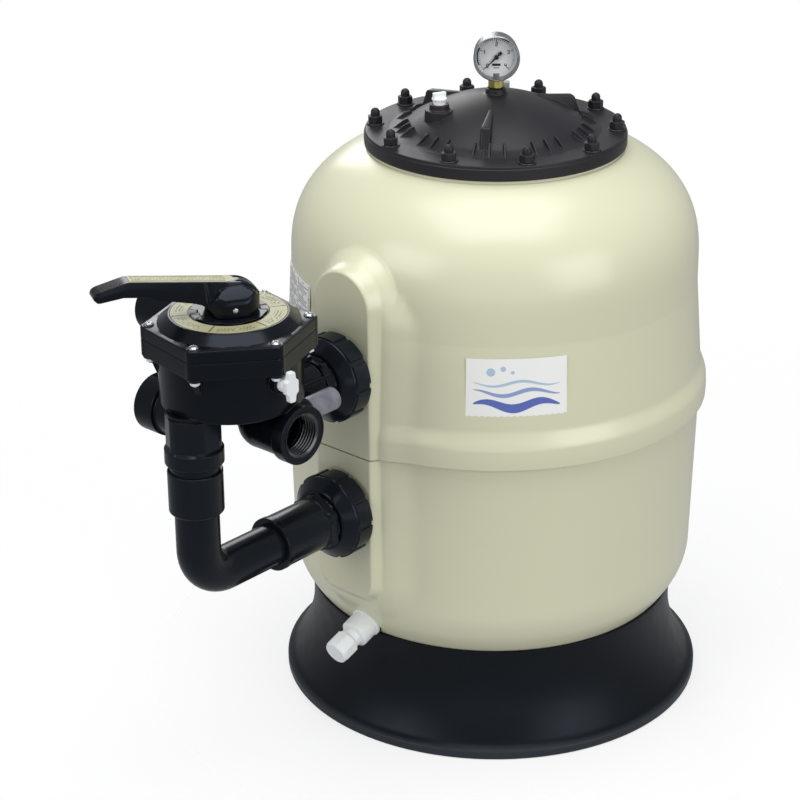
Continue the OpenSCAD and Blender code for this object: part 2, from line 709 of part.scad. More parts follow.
module valve_screws() {
    color("#c4c6c8") at_valve() around(6, screw_phase) translate([screw_circle_r, 0, 0]) {
        translate([0, 0, flange_low - 7]) cylinder(r = 2.5, h = screw_head_z - flange_low + 8);
        difference() {
            translate([0, 0, screw_head_z]) intersection() {
                cylinder(r = 6, h = 3.6);
                translate([0, 0, -4.2]) sphere(r = 8);
            }
            for (a = [0, 90]) rotate([0, 0, a]) translate([-3.4, -0.7, screw_head_z + 2]) cube([6.8, 1.4, 4]);
        }
    }
}
module valve_nuts() {
    color("#e4e4e0") at_valve() around(6, screw_phase) translate([screw_circle_r, 0, flange_low - 7]) difference() {
        cylinder(r = 5.4, h = 4, $fn = 6);
        translate([0, 0, -1]) cylinder(r = 2.52, h = 6);
    }
}
module dial_plate() {
    color("#d6d3ac") at_valve() translate([0, 0, dial_z - 1.2]) ring(dial_r, dial_bore_r, 1.7);
}
module index_washer() {
    color("#3a3c40") at_valve() rotate([0, 0, lever_az]) translate([0, 0, washer_z]) difference() {
        linear_extrude(washer_t) {
            circle(r = 36, $fn = fine);
            translate([26, -3]) square([17, 6]);
        }
        translate([0, 0, -1]) cylinder(r = shaft_r + shaft_clear, h = washer_t + 2, $fn = fine);
    }
}

// ---- Handle -------------------------------------------------------------------------------
module at_lever() { at_valve() rotate([0, 0, lever_az]) translate([0, 0, pivot_z]) children(); }
hub_low = washer_z + washer_t + 0.4 - pivot_z;
module hub() {
    difference() {
        intersection() {
            translate([-2, 0, hub_low]) cylinder(r = 32, h = 60, $fn = fine);
            translate([-4, 40, -6]) rotate([90, 0, 0]) cylinder(r = 35, h = 80, $fn = fine);
            translate([0, 0, -5]) bar_x(-60, 60, 34);
            translate([-60, -hub_half, -30]) cube([120, 2 * hub_half, 80]);
        }
        translate([0, 50, 0]) rotate([90, 0, 0]) linear_extrude(100)
            for (side = [-1, 1])
                polygon([[side * 18, hub_low], [side * 60, hub_low + 9], [side * 60, -60], [side * 18, -60]]);
    }
}
module arm_side() {
    polygon([[14, hub_low + 4], [14, 28.5], [111, 40.5], [lever_len - 1, 31.5], [lever_len + 1, 27],
        [lever_len - 3, 20.5], [117, 24], [97, 21.5], [68, 13.5], [32, 4.7], [20, hub_low + 4]]);
}
module handle() {
    color("#1d1f23") at_lever() difference() {
        union() {
            hub();
            translate([0, arm_half, 0]) rotate([90, 0, 0]) linear_extrude(2 * arm_half) arm_side();
        }
        translate([0, 0, -20]) cylinder(r = shaft_r + shaft_play, h = 32.5, $fn = fine);
        translate([-16, -shaft_r - shaft_play, -20]) cube([16, 2 * (shaft_r + shaft_play), 32.5]);
        translate([0, 40, 0]) rotate([90, 0, 0]) cylinder(r = 3.06, h = 80);
        arm_top_frame() translate([30, -10.2, -0.9]) cube([79, 20.4, 5]);
    }
}
module arm_top_frame() { translate([14, 0, 28.5]) rotate([0, -atan(12 / 97), 0]) translate([-14, 0, 0]) children(); }
module handle_strip() {
    color("#d6d3ac") at_lever() arm_top_frame() translate([30.3, -10, -0.8]) cube([78.4, 20, 1.1]);
}
module handle_pin() {
    color("#9a9c9f") at_lever() translate([0, hub_half, 0]) rotate([90, 0, 0]) cylinder(r = 3, h = 2 * hub_half);
}

// ---- Sight glass and plug -----------------------------------------------------------------
module sight_frame() { translate([sight_x, -waste_y, port_level + 7]) rotate([-90, 0, 0]) children(); }
module sight_glass_gasket() {
    color("#161616") sight_frame() translate([0, 0, 38]) ring(15, 12.3, 2);
}
module sight_glass() {
    color("#c8cbd2", 0.6) sight_frame() difference() {
        union() {
            translate([0, 0, 26]) cylinder(r = 11.9, h = 16);
            translate([0, 0, 40]) cylinder(r = 13.5, h = 46);
        }
        translate([0, 0, 20]) cylinder(r = 9, h = 62);
    }
}
module plug_frame() { at_plug() rotate([0, 90, 0]) children(); }
module wing_plug_oring() {
    color("#161616") plug_frame() translate([0, 0, valve_r + 5.1]) ring(8.9, 6.1, 2.3);
}
module wing_plug() {
    color("#ecece8") plug_frame() {
        translate([0, 0, valve_r - 5]) cylinder(r = 6, h = 16);
        translate([0, 0, valve_r + 7.5]) cylinder(r = 8.9, h = 10);
        translate([0, 0, valve_r + 17.4]) linear_extrude(7) {
            circle(r = 8);
            for (s = [-1, 1]) translate([s * 12.5, 0]) circle(r = 5);
            translate([-12.5, -3.5]) square([25, 7]);
        }
    }
}

// ---- Labels -------------------------------------------------------------------------------
function wall_r(z) = tank_r + (shoulder_r - tank_r) * (z - seam_z - band_h) / (shoulder_z - seam_z - band_h);
module wall_patch(z0, z1, az0, az1, t) {
    rotate([0, 0, az0]) rotate_extrude(angle = az1 - az0, $fn = 360)
        polygon([[wall_r(z0) + 0.02, z0], [wall_r(z0) + t, z0], [wall_r(z1) + t, z1], [wall_r(z1) + 0.02, z1]]);
}
module main_label() {
    color("#f2f2ef") wall_patch(449, 523, -57.5, -31, 0.5);
}
module info_label() {
    color("#e6e6dc") wall_patch(496, 560, -139, -111, 0.5);
}

base_skirt();
tank_lower_shell();
tank_upper_shell();
lid_studs();
lid_gasket();
lid();
lid_washers();
lid_nuts();
lid_locating_key();
gauge_gasket();
gauge_stem();
gauge_case();
gauge_dial();
gauge_needle();
gauge_glass();
purge_oring();
purge_knob();
upper_port_gasket();
upper_bulkhead();
upper_union_gasket();
upper_union_nut();
lower_port_gasket();
lower_bulkhead();
lower_union_gasket();
lower_union_nut();
lower_adapter();
connecting_pipe();
riser_sleeve();
riser_adapter();
drain_gasket();
drain_spigot();
drain_cap_oring();
drain_cap();
inlet_pipe();
diffuser();
outlet_pipe();
manifold_hub();
laterals();
air_tube();
valve_body();
valve_seat_gasket();
valve_rotor();
valve_shaft_oring();
valve_spring();
valve_lid_gasket();
valve_lid();
valve_screws();
valve_nuts();
dial_plate();
index_washer();
handle();
handle_pin();
handle_strip();
sight_glass();
sight_glass_gasket();
wing_plug_oring();
wing_plug();
main_label();
info_label();
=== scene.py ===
import math

import bmesh
import bpy
from mathutils import Matrix, Vector


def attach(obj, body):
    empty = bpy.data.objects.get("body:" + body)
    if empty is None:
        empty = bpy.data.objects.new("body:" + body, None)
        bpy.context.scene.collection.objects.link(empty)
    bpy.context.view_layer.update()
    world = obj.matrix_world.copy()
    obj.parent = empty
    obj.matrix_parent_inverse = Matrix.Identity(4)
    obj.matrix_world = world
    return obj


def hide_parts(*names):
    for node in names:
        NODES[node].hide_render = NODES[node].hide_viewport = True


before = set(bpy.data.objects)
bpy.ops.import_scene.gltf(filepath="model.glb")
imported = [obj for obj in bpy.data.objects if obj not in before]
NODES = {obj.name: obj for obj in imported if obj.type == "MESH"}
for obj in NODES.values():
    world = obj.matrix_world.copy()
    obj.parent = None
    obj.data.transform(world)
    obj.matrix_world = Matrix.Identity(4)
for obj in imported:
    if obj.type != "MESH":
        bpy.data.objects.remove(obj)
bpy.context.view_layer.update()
MM = 0.001


# ---- Camera and lights ---------------------------------------------------------------------
# viewpoint fitted to the ellipses of the lid, seam and base in the photograph
CAMERA_PLACE = (1.7082, -2.0718, 1.5438)
CAMERA_LENS, CAMERA_TURN = 104.67, 42.0
CAMERA_DIP, CAMERA_ROLL = 0.4147, -0.0072


def make_camera():
    data = bpy.data.cameras.new("camera")
    data.lens = CAMERA_LENS
    data.sensor_width = 36.0
    data.clip_start = 0.05
    data.clip_end = 50.0
    cam = bpy.data.objects.new("camera", data)
    pitch = math.radians(90.0) - CAMERA_DIP
    turn = Matrix.Rotation(math.radians(CAMERA_TURN), 4, "Z") @ Matrix.Rotation(pitch, 4, "X")
    turn = turn @ Matrix.Rotation(CAMERA_ROLL, 4, "Z")
    cam.matrix_world = Matrix.Translation(CAMERA_PLACE) @ turn
    bpy.context.scene.collection.objects.link(cam)
    bpy.context.scene.camera = cam


def area_light(name, place, aim, size, power, colour=(1, 1, 1)):
    data = bpy.data.lights.new(name, "AREA")
    data.shape = "RECTANGLE"
    data.size, data.size_y = size
    data.energy = power
    data.color = colour
    lamp = bpy.data.objects.new(name, data)
    lamp.location = place
    lamp.rotation_mode = "QUATERNION"
    lamp.rotation_quaternion = (Vector(aim) - Vector(place)).to_track_quat("-Z", "Y")
    bpy.context.scene.collection.objects.link(lamp)


make_camera()
area_light("key_left", (-0.6, -3.2, 1.9), (0, 0, 0.45), (2.0, 1.6), 32)
area_light("fill_right", (3.2, -0.2, 1.3), (0, 0, 0.4), (2.0, 2.0), 36)
area_light("top_soft", (0.3, -0.3, 3.4), (0, 0, 0.3), (2.6, 2.6), 68)
area_light("rim_back", (-2.6, 1.8, 1.9), (0, 0, 0.5), (1.4, 1.4), 24)
area_light("front_strip", (1.75, -2.1, 0.4), (0, 0, 0.35), (2.8, 0.5), 4)


def make_world():
    """A dim studio room that shows plain white behind the object."""
    world = bpy.data.worlds.new("studio")
    world.use_nodes = True
    bpy.context.scene.world = world
    tree = world.node_tree
    seen = tree.nodes["Background"]
    seen.inputs["Color"].default_value = (1.0, 1.0, 1.0, 1.0)
    seen.inputs["Strength"].default_value = 1.0
    room = tree.nodes.new("ShaderNodeBackground")
    room.inputs["Color"].default_value = (0.93, 0.96, 1.0, 1.0)
    room.inputs["Strength"].default_value = 0.36
    ray = tree.nodes.new("ShaderNodeLightPath")
    blend = tree.nodes.new("ShaderNodeMixShader")
    tree.links.new(ray.outputs["Is Camera Ray"], blend.inputs["Fac"])
    tree.links.new(room.outputs["Background"], blend.inputs[1])
    tree.links.new(seen.outputs["Background"], blend.inputs[2])
    tree.links.new(blend.outputs["Shader"], tree.nodes["World Output"].inputs["Surface"])
    bpy.context.scene.view_settings.view_transform = "Standard"


make_world()


# ---- Materials -----------------------------------------------------------------------------
class Nodes:
    """A short way to write a node tree."""

    def __init__(self, name):
        self.mat = bpy.data.materials.new(name)
        self.mat.use_nodes = True
        self.tree = self.mat.node_tree
        self.shader = self.tree.nodes["Principled BSDF"]
        self.coord = None

    def add(self, kind, **props):
        node = self.tree.nodes.new(kind)
        for key, value in props.items():
            setattr(node, key, value)
        return node

    def link(self, a, b):
        self.tree.links.new(a, b)

    def place(self):
        if self.coord is None:
            self.coord = self.add("ShaderNodeTexCoord")
        return self.coord.outputs["Object"]

    def noise(self, scale, detail=3.0, rough=0.55, distortion=0.0, source=None):
        node = self.add("ShaderNodeTexNoise")
        node.inputs["Scale"].default_value = scale
        node.inputs["Detail"].default_value = detail
        node.inputs["Roughness"].default_value = rough
        node.inputs["Distortion"].default_value = distortion
        self.link(source or self.place(), node.inputs["Vector"])
        return node.outputs["Fac"]

    def ramp(self, source, stops):
        node = self.add("ShaderNodeValToRGB")
        band = node.color_ramp
        while len(band.elements) < len(stops):
            band.elements.new(0.5)
        for element, (where, colour) in zip(band.elements, stops):
            element.position = where
            element.color = (*colour, 1.0) if len(colour) == 3 else colour
        self.link(source, node.inputs["Fac"])
        return node.outputs["Color"]

    def span(self, source, low, high, to_low, to_high):
        node = self.add("ShaderNodeMapRange")
        for key, value in zip(("From Min", "From Max", "To Min", "To Max"), (low, high, to_low, to_high)):
            node.inputs[key].default_value = value
        self.link(source, node.inputs["Value"])
        return node.outputs["Result"]

    def blend(self, amount, first, second):
        """The first colour, with some of the fixed second colour."""
        node = self.add("ShaderNodeMix", data_type="RGBA")
        self.link(amount, node.inputs[0])
        self.link(first, node.inputs[6])
        node.inputs[7].default_value = (*second, 1.0)
        return node.outputs[2]

    def bump(self, source, distance, strength=1.0, normal=None):
        node = self.add("ShaderNodeBump")
        node.inputs["Distance"].default_value = distance
        node.inputs["Strength"].default_value = strength
        self.link(source, node.inputs["Height"])
        if normal is not None:
            self.link(normal, node.inputs["Normal"])
        return node.outputs["Normal"]

    def rounded(self, radius, samples=6):
        node = self.add("ShaderNodeBevel", samples=samples)
        node.inputs["Radius"].default_value = radius
        return node.outputs["Normal"]


def srgb(text):
    out = []
    for i in (1, 3, 5):
        c = int(text[i:i + 2], 16) / 255.0
        out.append(c / 12.92 if c <= 0.04045 else ((c + 0.055) / 1.055) ** 2.4)
    return tuple(out)


def mix(a, b, t):
    return tuple(x + (y - x) * t for x, y in zip(a, b))


def moulded(name, colour, rough, spread=0.06, grain=900.0, grain_depth=0.00002, bevel=0.0006, tint=0.12,
        coat=0.0, specular=0.5, patch=14.0, sheen_blue=False, edge_highlight=0.0, foot=0.0):
    """Moulded plastic: fine grain, cloudy gloss, slightly uneven colour, soft edges.

    One argument paints a highlight along the sharp edges in a lighter grey, and foot lightens the rim
    below about 14 mm to the same grey.
    """
    n = Nodes(name)
    base = srgb(colour)
    cloud = n.noise(patch, 4.0)
    paint = n.ramp(cloud, [(0.3, mix(base, (0, 0, 0), tint)), (0.7,
            tuple(c * (1 + tint * 0.25) for c in base))])
    n.link(n.span(n.noise(patch * 3.1, 3.0), 0.3, 0.7, rough - spread, rough + spread),
            n.shader.inputs["Roughness"])
    edge = n.rounded(bevel) if bevel else None
    # Painted highlight: lightens the sharp edges, found by the bevel normal, towards the lighter grey.
    if edge_highlight:
        bend = n.add("ShaderNodeVectorMath", operation="DOT_PRODUCT")
        n.link(edge, bend.inputs[0])
        n.link(n.add("ShaderNodeNewGeometry").outputs["Normal"], bend.inputs[1])
        paint = n.blend(n.span(bend.outputs["Value"], 0.8, 0.97, edge_highlight, 0.0), paint, HIGHLIGHT_AND_RIM_GREY)
    # Lightens the rim below 10.5 mm height to the lighter grey, fading out by 14 mm.
    if foot:
        height = n.add("ShaderNodeSeparateXYZ")
        n.link(n.place(), height.inputs["Vector"])
        paint = n.blend(n.span(height.outputs["Z"], 0.0105, 0.014, foot, 0.0), paint, HIGHLIGHT_AND_RIM_GREY)
    n.link(paint, n.shader.inputs["Base Color"])
    n.link(n.bump(n.noise(grain, 2.0), grain_depth, 1.0, edge), n.shader.inputs["Normal"])
    n.shader.inputs["Specular IOR Level"].default_value = specular
    if sheen_blue:
        n.shader.inputs["Specular Tint"].default_value = (0.72, 0.82, 1.0, 1.0)
    n.shader.inputs["Coat Weight"].default_value = coat
    n.shader.inputs["Coat Roughness"].default_value = 0.24
    return n.mat


def metal(name, colour, rough, brush=300.0, depth=0.00001):
    n = Nodes(name)
    base = srgb(colour)
    n.link(n.ramp(n.noise(40.0, 3.0), [(0.3, mix(base, (0, 0, 0), 0.18)), (0.7, base)]),
            n.shader.inputs["Base Color"])
    n.link(n.span(n.noise(90.0, 3.0), 0.3, 0.7, rough - 0.08, rough + 0.1), n.shader.inputs["Roughness"])
    n.link(n.bump(n.noise(brush, 2.0), depth, 1.0, n.rounded(0.0004)), n.shader.inputs["Normal"])
    n.shader.inputs["Metallic"].default_value = 1.0
    return n.mat


# Lighter grey for the painted edge highlight on the black plastics, and for the base rim.
HIGHLIGHT_AND_RIM_GREY = srgb("#50555a")
VESSEL = moulded("vessel_cream", "#d8d7b9", 0.3, 0.02, 120.0, 0.000004, 0.0, 0.015, 0.3, 0.5, 3.0)
BASE = moulded("base_black", "#121518", 0.36, 0.03, 1100.0, 0.000006, 0.0008, 0.12, 0.0, 0.16, 14.0, True,
        0.3, 0.35)
LID = moulded("lid_charcoal", "#242226", 0.42, 0.03, 1300.0, 0.000012, 0.0008, 0.1, 0.0, 0.28, 14.0,
        False, 0.3)
BLACK = moulded("valve_black", "#0d1014", 0.19, 0.02, 1000.0, 0.000003, 0.0008, 0.12, 0.0, 0.22, 14.0,
        True, 0.45)
PIPE = moulded("pipe_black", "#161a1f", 0.19, 0.02, 900.0, 0.000003, 0.0005, 0.12, 0.0, 0.22, 14.0, True,
        0.45)
# Lighter copy of the valve black for the port threads: a painted highlight, so the threads read as lit
# ridges in the dark bore.
THREAD = moulded("thread_black", "#26292e", 0.24, 0.04, 900.0, 0.00001, 0.0, 0.2, 0.0, 0.8)
GREY = moulded("key_grey", "#9a9b98", 0.5, 0.06, 900.0, 0.00003, 0.0005, 0.15)
WHITE = moulded("fitting_white", "#f2f5f5", 0.34, 0.06, 900.0, 0.00003, 0.0005, 0.05)
INNER = moulded("inner_plastic", "#c9c9c4", 0.5, 0.06, 900.0, 0.00003, 0.0005, 0.15)
CREAM = moulded("dial_cream", "#a8a680", 0.45, 0.04, 900.0, 0.000006, 0.0003, 0.08)
LABEL = moulded("label_white", "#f6f6f2", 0.35, 0.04, 500.0, 0.000004, 0.0, 0.02)
RUBBER = moulded("rubber_black", "#141416", 0.62, 0.06, 1200.0, 0.00005, 0.0004, 0.3, 0.0, 0.35)
STEEL = metal("steel_bright", "#c9cbcd", 0.24)
CASE = metal("gauge_steel", "#9da0a2", 0.34)
WASHER = metal("washer_dull", "#5d5e60", 0.5)
BRASS = metal("brass_stem", "#cdbd72", 0.3)
DIAL = moulded("dial_white", "#f8f9f8", 0.5, 0.04, 600.0, 0.00001, 0.0, 0.02)
INK = moulded("printed_ink", "#26272b", 0.5, 0.04, 500.0, 0.00001, 0.0, 0.2)
BLUE = moulded("print_blue", "#5a6db8", 0.4, 0.04, 500.0, 0.00001, 0.0, 0.06)
BLUE_MID = moulded("print_mid_blue", "#8fa3d2", 0.4, 0.04, 500.0, 0.00001, 0.0, 0.06)
BLUE_PALE = moulded("print_pale_blue", "#b3c8dd", 0.4, 0.04, 500.0, 0.00001, 0.0, 0.06)
NEEDLE = moulded("needle_black", "#101010", 0.4, 0.04, 600.0, 0.00001, 0.0002, 0.2)


def clear(name, colour, rough, tint, through):
    """Clear moulded plastic, partly milky."""
    n = Nodes(name)
    n.link(n.ramp(n.noise(60.0, 3.0), [(0.35, mix(srgb(colour), (0, 0, 0), tint)), (0.7, srgb(colour))]),
            n.shader.inputs["Base Color"])
    n.link(n.span(n.noise(120.0, 2.0), 0.3, 0.7, rough, rough + 0.05), n.shader.inputs["Roughness"])
    n.shader.inputs["Transmission Weight"].default_value = through
    n.shader.inputs["IOR"].default_value = 1.45
    return n.mat


def pane(name):
    """Thin flat glass that lets the light through to the dial."""
    n = Nodes(name)
    n.link(n.ramp(n.noise(30.0, 2.0), [(0.3, (0.02, 0.025, 0.03)), (0.7, (0.03, 0.035, 0.04))]),
            n.shader.inputs["Base Color"])
    n.link(n.span(n.noise(80.0, 2.0), 0.3, 0.7, 0.02, 0.06), n.shader.inputs["Roughness"])
    n.shader.inputs["Alpha"].default_value = 0.07
    return n.mat


GLASS = pane("gauge_glass")
SIGHT = clear("sight_clear", "#b6b7c4", 0.2, 0.4, 0.55)

# ---- Mesh helpers --------------------------------------------------------------------------
def finish_piece(name, bm, material, body, stands_for=(), sharp=38.0):
    """A mesh piece in metres from a bmesh in millimetres, riding on a CAD body."""
    bmesh.ops.scale(bm, vec=(MM, MM, MM), verts=bm.verts)
    bmesh.ops.recalc_face_normals(bm, faces=bm.faces)
    for face in bm.faces:
        face.smooth = True
    mesh = bpy.data.meshes.new(name)
    bm.to_mesh(mesh)
    bm.free()
    mesh.set_sharp_from_angle(angle=math.radians(sharp))
    for m in material if isinstance(material, (list, tuple)) else [material]:
        mesh.materials.append(m)
    piece = bpy.data.objects.new(name, mesh)
    bpy.context.scene.collection.objects.link(piece)
    weighted = piece.modifiers.new("weighted", "WEIGHTED_NORMAL")
    weighted.keep_sharp = True
    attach(piece, body)
    if stands_for:
        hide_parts(*stands_for)
    return piece


class Shape:
    """Collects closed solids, in millimetres, into one piece."""

    def __init__(self):
        self.bm = bmesh.new()

    def add(self, verts, faces, matrix=None, tag=0):
        made = [self.bm.verts.new(matrix @ Vector(v) if matrix else v) for v in verts]
        for f in faces:
            face = self.bm.faces.new([made[i] for i in f])
            face.material_index = tag
        return self

    def turned(self, path, columns=64, matrix=None, closed=False, radius=None, tag=0):
        """Turns a path of (radius, height) about +Z. radius(r, z, angle) may shape each ring."""
        verts = []
        for r, z in path:
            for i in range(columns):
                a = 2 * math.pi * i / columns
                q = radius(r, z, a) if radius else r
                verts.append((q * math.cos(a), q * math.sin(a), z))
        faces = ring_faces(len(path), columns, closed)
        if not closed:
            faces.append(tuple(reversed(range(columns))))
            last = (len(path) - 1) * columns
            faces.append(tuple(range(last, last + columns)))
        return self.add(verts, faces, matrix, tag)

    def loft(self, sections, matrix=None, tag=0, loop=False):
        """Joins closed sections of equal length, capped at both ends."""
        n = len(sections[0])
        verts = [p for s in sections for p in s]
        faces = ring_faces(len(sections), n, loop)
        if not loop:
            faces.append(tuple(reversed(range(n))))
            last = (len(sections) - 1) * n
            faces.append(tuple(range(last, last + n)))
        return self.add(verts, faces, matrix, tag)

    def prism(self, outline, low, high, edge=0.5, matrix=None, tag=0, steps=2):
        """An outline raised from low to high, with its two rims rounded by edge."""
        sections = []
        levels = [(low, edge), (low + edge * 0.3, edge * 0.3), (low + edge, 0.0), (high - edge, 0.0),
                (high - edge * 0.3, edge * 0.3), (high, edge)]
        if steps == 1:
            levels = [(low, edge), (low + edge, 0.0), (high - edge, 0.0), (high, edge)]
        for z, inset in levels:
            sections.append([(x, y, z) for x, y in inset_outline(outline, inset)])
        return self.loft(sections, matrix, tag)

    def piece(self, name, material, body, slot=None, stands_for=(), sharp=38.0):
        return finish_piece(name, self.bm, material, body, stands_for, sharp)


def inset_outline(outline, d):
    """Moves each corner of an anticlockwise outline inwards by d, along its mitre."""
    if d == 0:
        return list(outline)
    out = []
    n = len(outline)
    for i in range(n):
        p = Vector(outline[i])
        a = (p - Vector(outline[i - 1])).normalized()
        b = (Vector(outline[(i + 1) % n]) - p).normalized()
        na, nb = Vector((-a.y, a.x)), Vector((-b.y, b.x))
        m = na + nb
        m = m / max(m.dot(na), 0.35)
        out.append((p.x + m.x * d, p.y + m.y * d))
    return out


def rounded_path(points, steps=4, closed=False):
    """(x, y, radius) corners to a path with each corner rounded by its radius."""
    out = []
    n = len(points)
    for i, (x, y, r) in enumerate(points):
        if r <= 0 or (not closed and i in (0, n - 1)):
            out.append((x, y))
            continue
        p = Vector((x, y))
        a = Vector(points[i - 1][:2]) - p
        b = Vector(points[(i + 1) % n][:2]) - p
        angle = a.angle(b)
        back = min(r / math.tan(angle / 2), a.length * 0.49, b.length * 0.49)
        start, end = p + a.normalized() * back, p + b.normalized() * back
        for k in range(steps + 1):
            t = k / steps
            q = start * (1 - t) ** 2 + p * 2 * t * (1 - t) + end * t * t
            out.append((q.x, q.y))
    return out


def ring_faces(rows, columns, closed_rows=False):
    """Quads of a grid that is closed round its columns."""
    faces = []
    for j in range(rows - (0 if closed_rows else 1)):
        k = (j + 1) % rows
        for i in range(columns):
            n = (i + 1) % columns
            faces.append((j * columns + i, j * columns + n, k * columns + n, k * columns + i))
    return faces


def hexagon(across_corners, turn=0.0):
    """A ring shape: a hexagon whose corners are cut to the circle that the path gives."""
    def shape(r, z, a):
        flat = across_corners * math.cos(math.pi / 6)
        off = (a - turn) % (math.pi / 3) - math.pi / 6
        return min(r, flat / math.cos(off))
    return shape


def box_at(x0, x1, y0, y1):
    return [(x0, y0), (x1, y0), (x1, y1), (x0, y1)]


def along_y(y, z=0.0):
    """A frame whose +Z points out of the wall, along -Y."""
    return Matrix.Translation((0.0, -y, z)) @ Matrix.Rotation(math.radians(90.0), 4, "X")


def along_x(x, y, z, back=False):
    return Matrix.Translation((x, y, z)) @ Matrix.Rotation(math.radians(-90.0 if back else 90.0), 4, "Y")


def move(x=0.0, y=0.0, z=0.0):
    return Matrix.Translation((x, y, z))


def spin(degrees, axis="Z"):
    return Matrix.Rotation(math.radians(degrees), 4, axis)


def smooth01(t):
    t = min(max(t, 0.0), 1.0)
    return t * t * (3 - 2 * t)


# ---- Vessel --------------------------------------------------------------------------------
TANK_R, BAND_R, WALL = 256.5, 265.0, 7.0
SEAM_Z, NECK_Z, NECK_R, MOUTH_R = 388.0, 707.0, 154.5, 118.0
SHOULDER_R, SHOULDER_Z, DOME_H = 248.5, 565.0, 155.0
PAD_Y, PAD_HALF, PAD_ARCH_Z, PAD_BOTTOM_Z, PAD_CORNER = -275.0, 45.0, 570.0, 197.0, 24.0


def vessel_columns():
    """Directions round the vessel, closer together across the raised pad."""
    spots = [-90.0 - 13.5 + 0.27 * i for i in range(101)]
    rest = 360.0 - 27.0
    spots += [-90.0 + 13.5 + rest * i / 200 for i in range(1, 200)]
    return [math.radians(a) for a in spots]


def pad_distance(x, z):
    """Distance outside the pad's face outline, negative inside it."""
    if z > PAD_ARCH_Z:
        return math.hypot(x, z - PAD_ARCH_Z) - PAD_HALF
    dx = abs(x) - (PAD_HALF - PAD_CORNER)
    dz = PAD_BOTTOM_Z + PAD_CORNER - z
    if dz < 0:
        return abs(x) - PAD_HALF
    if dx < 0:
        return dz - PAD_CORNER
    return math.hypot(dx, dz) - PAD_CORNER


def on_pad(x, y, z):
    """Moves a point of the outer wall out to the raised pad."""
    if y > -100 or z > 668 or z < 145:
        return x, y, z
    d = pad_distance(x, z)
    reach = 42.0 - 22.0 * smooth01((z - 545.0) / 50.0)
    blend = 1.0 - 0.45 * smooth01((d + 4.0) / 8.0) - 0.55 * smooth01((d + 3.0) / reach)
    return x, y + min(PAD_Y - y, 0.0) * blend, z


def path_rows(points, step, fine=()):
    """Points along a path at a steady spacing, closer together within the fine height ranges."""
    out = [points[0]]
    for a, b in zip(points, points[1:]):
        pace = min([s for low, high, s in fine if low < (a[1] + b[1]) / 2 < high] + [step])
        n = max(1, int(math.hypot(b[0] - a[0], b[1] - a[1]) / pace + 0.5))
        out += [(a[0] + (b[0] - a[0]) * k / n, a[1] + (b[1] - a[1]) * k / n) for k in range(1, n + 1)]
    return out


def dome_path(inset, z_max, n=60):
    out = []
    for i in range(n + 1):
        t = math.radians(62.0 * i / n)
        r = (SHOULDER_R - inset) * math.cos(t) ** 0.8
        z = SHOULDER_Z + (DOME_H - inset) * math.sin(t) ** 0.8
        if z >= z_max:
            r0, z0 = out[-1]
            out.append((r0 + (r - r0) * (z_max - z0) / (z - z0), z_max))
            break
        out.append((r, z))
    return out


def build_shell(name, outer, inner, top_z, node, ends):
    """One half of the vessel: the outer wall with its pad, and the inner wall, closed at the rims."""
    cols = vessel_columns()
    verts = []
    for r, z in outer:
        for a in cols:
            x, y = r * math.cos(a), r * math.sin(a)
            verts.append(on_pad(x, y, z) if z < top_z else (x, y, z))
    for r, z in inner:
        verts += [(r * math.cos(a), r * math.sin(a), z) for a in cols]
    n, rows = len(cols), len(outer) + len(inner)
    faces = ring_faces(rows, n, not ends)
    if ends:
        faces.append(tuple(reversed(range(n))))
        faces.append(tuple(range((rows - 1) * n, rows * n)))
    shape = Shape()
    shape.add(verts, faces)
    return shape.piece(name, VESSEL, "tank", "vessel_shell", (node,), 60.0)


def build_vessel():
    outer = rounded_path([(TANK_R + 0.3, SEAM_Z, 0), (BAND_R - 0.4, SEAM_Z, 1.6),
            (BAND_R, SEAM_Z + 12, 0), (BAND_R - 0.6, SEAM_Z + 22, 0)], 4)
    for k in range(1, 13):
        t = k / 12
        outer.append((BAND_R - 0.6 - (BAND_R - 0.6 - TANK_R) * smooth01(t), SEAM_Z + 22 + 26 * t))
    outer += [(SHOULDER_R + 0.2, SHOULDER_Z - 30), (SHOULDER_R + 0.1, SHOULDER_Z - 6)]
    outer += dome_path(0.0, NECK_Z - 9)[1:]
    outer += rounded_path([(outer[-1][0] - 0.2, NECK_Z - 8.8, 0), (NECK_R, NECK_Z - 8.5, 1.2),
            (NECK_R, NECK_Z, 1.5), (MOUTH_R, NECK_Z, 1.5), (MOUTH_R, NECK_Z - 17, 0)], 3)
    inner = list(reversed(dome_path(WALL, NECK_Z - 17, 24)))
    inner += [(TANK_R - WALL, SEAM_Z + 25), (TANK_R + 0.3, SEAM_Z + 25)]
    build_shell("shell_upper", path_rows(outer, 5.0, ((540, 628, 1.4),)), path_rows(inner, 30.0), 660.0,
            "tank_upper_shell", False)
    outer = [(0.6, 50.0)]
    for i in range(1, 41):
        a = math.radians(-90 + 90 * i / 40)
        outer.append((252.0 * math.cos(a), 190.0 + 140.0 * math.sin(a)))
    outer += [(TANK_R, SEAM_Z - 2), (TANK_R, SEAM_Z + 24), (TANK_R - WALL, SEAM_Z + 24)]
    inner = [(TANK_R - WALL, SEAM_Z)]
    for i in range(20):
        a = math.radians(-90 * i / 20)
        inner.append(((252.0 - WALL) * math.cos(a), 190.0 + (140.0 - WALL) * math.sin(a)))
    inner.append((0.6, 57.0))
    build_shell("shell_lower", path_rows(outer, 5.0, ((170, 235, 1.6),)), path_rows(inner, 30.0),
            SEAM_Z - 0.5, "tank_lower_shell", True)


build_vessel()

# ---- Lid -----------------------------------------------------------------------------------
LID_Z, LID_TOP, LID_R, LID_RISE = 708.0, 720.0, 158.0, 42.0
BOLT_R, BOLTS = 145.0, 10
LONG_RIBS = (-57.0, 63.0, 183.0)
AT_PURGE = spin(-114.5) @ move(74.0)


def dome_z(r, foot=MOUTH_R, base=LID_TOP, rise=LID_RISE):
    return base + rise * (1 - (r / foot) ** 2)


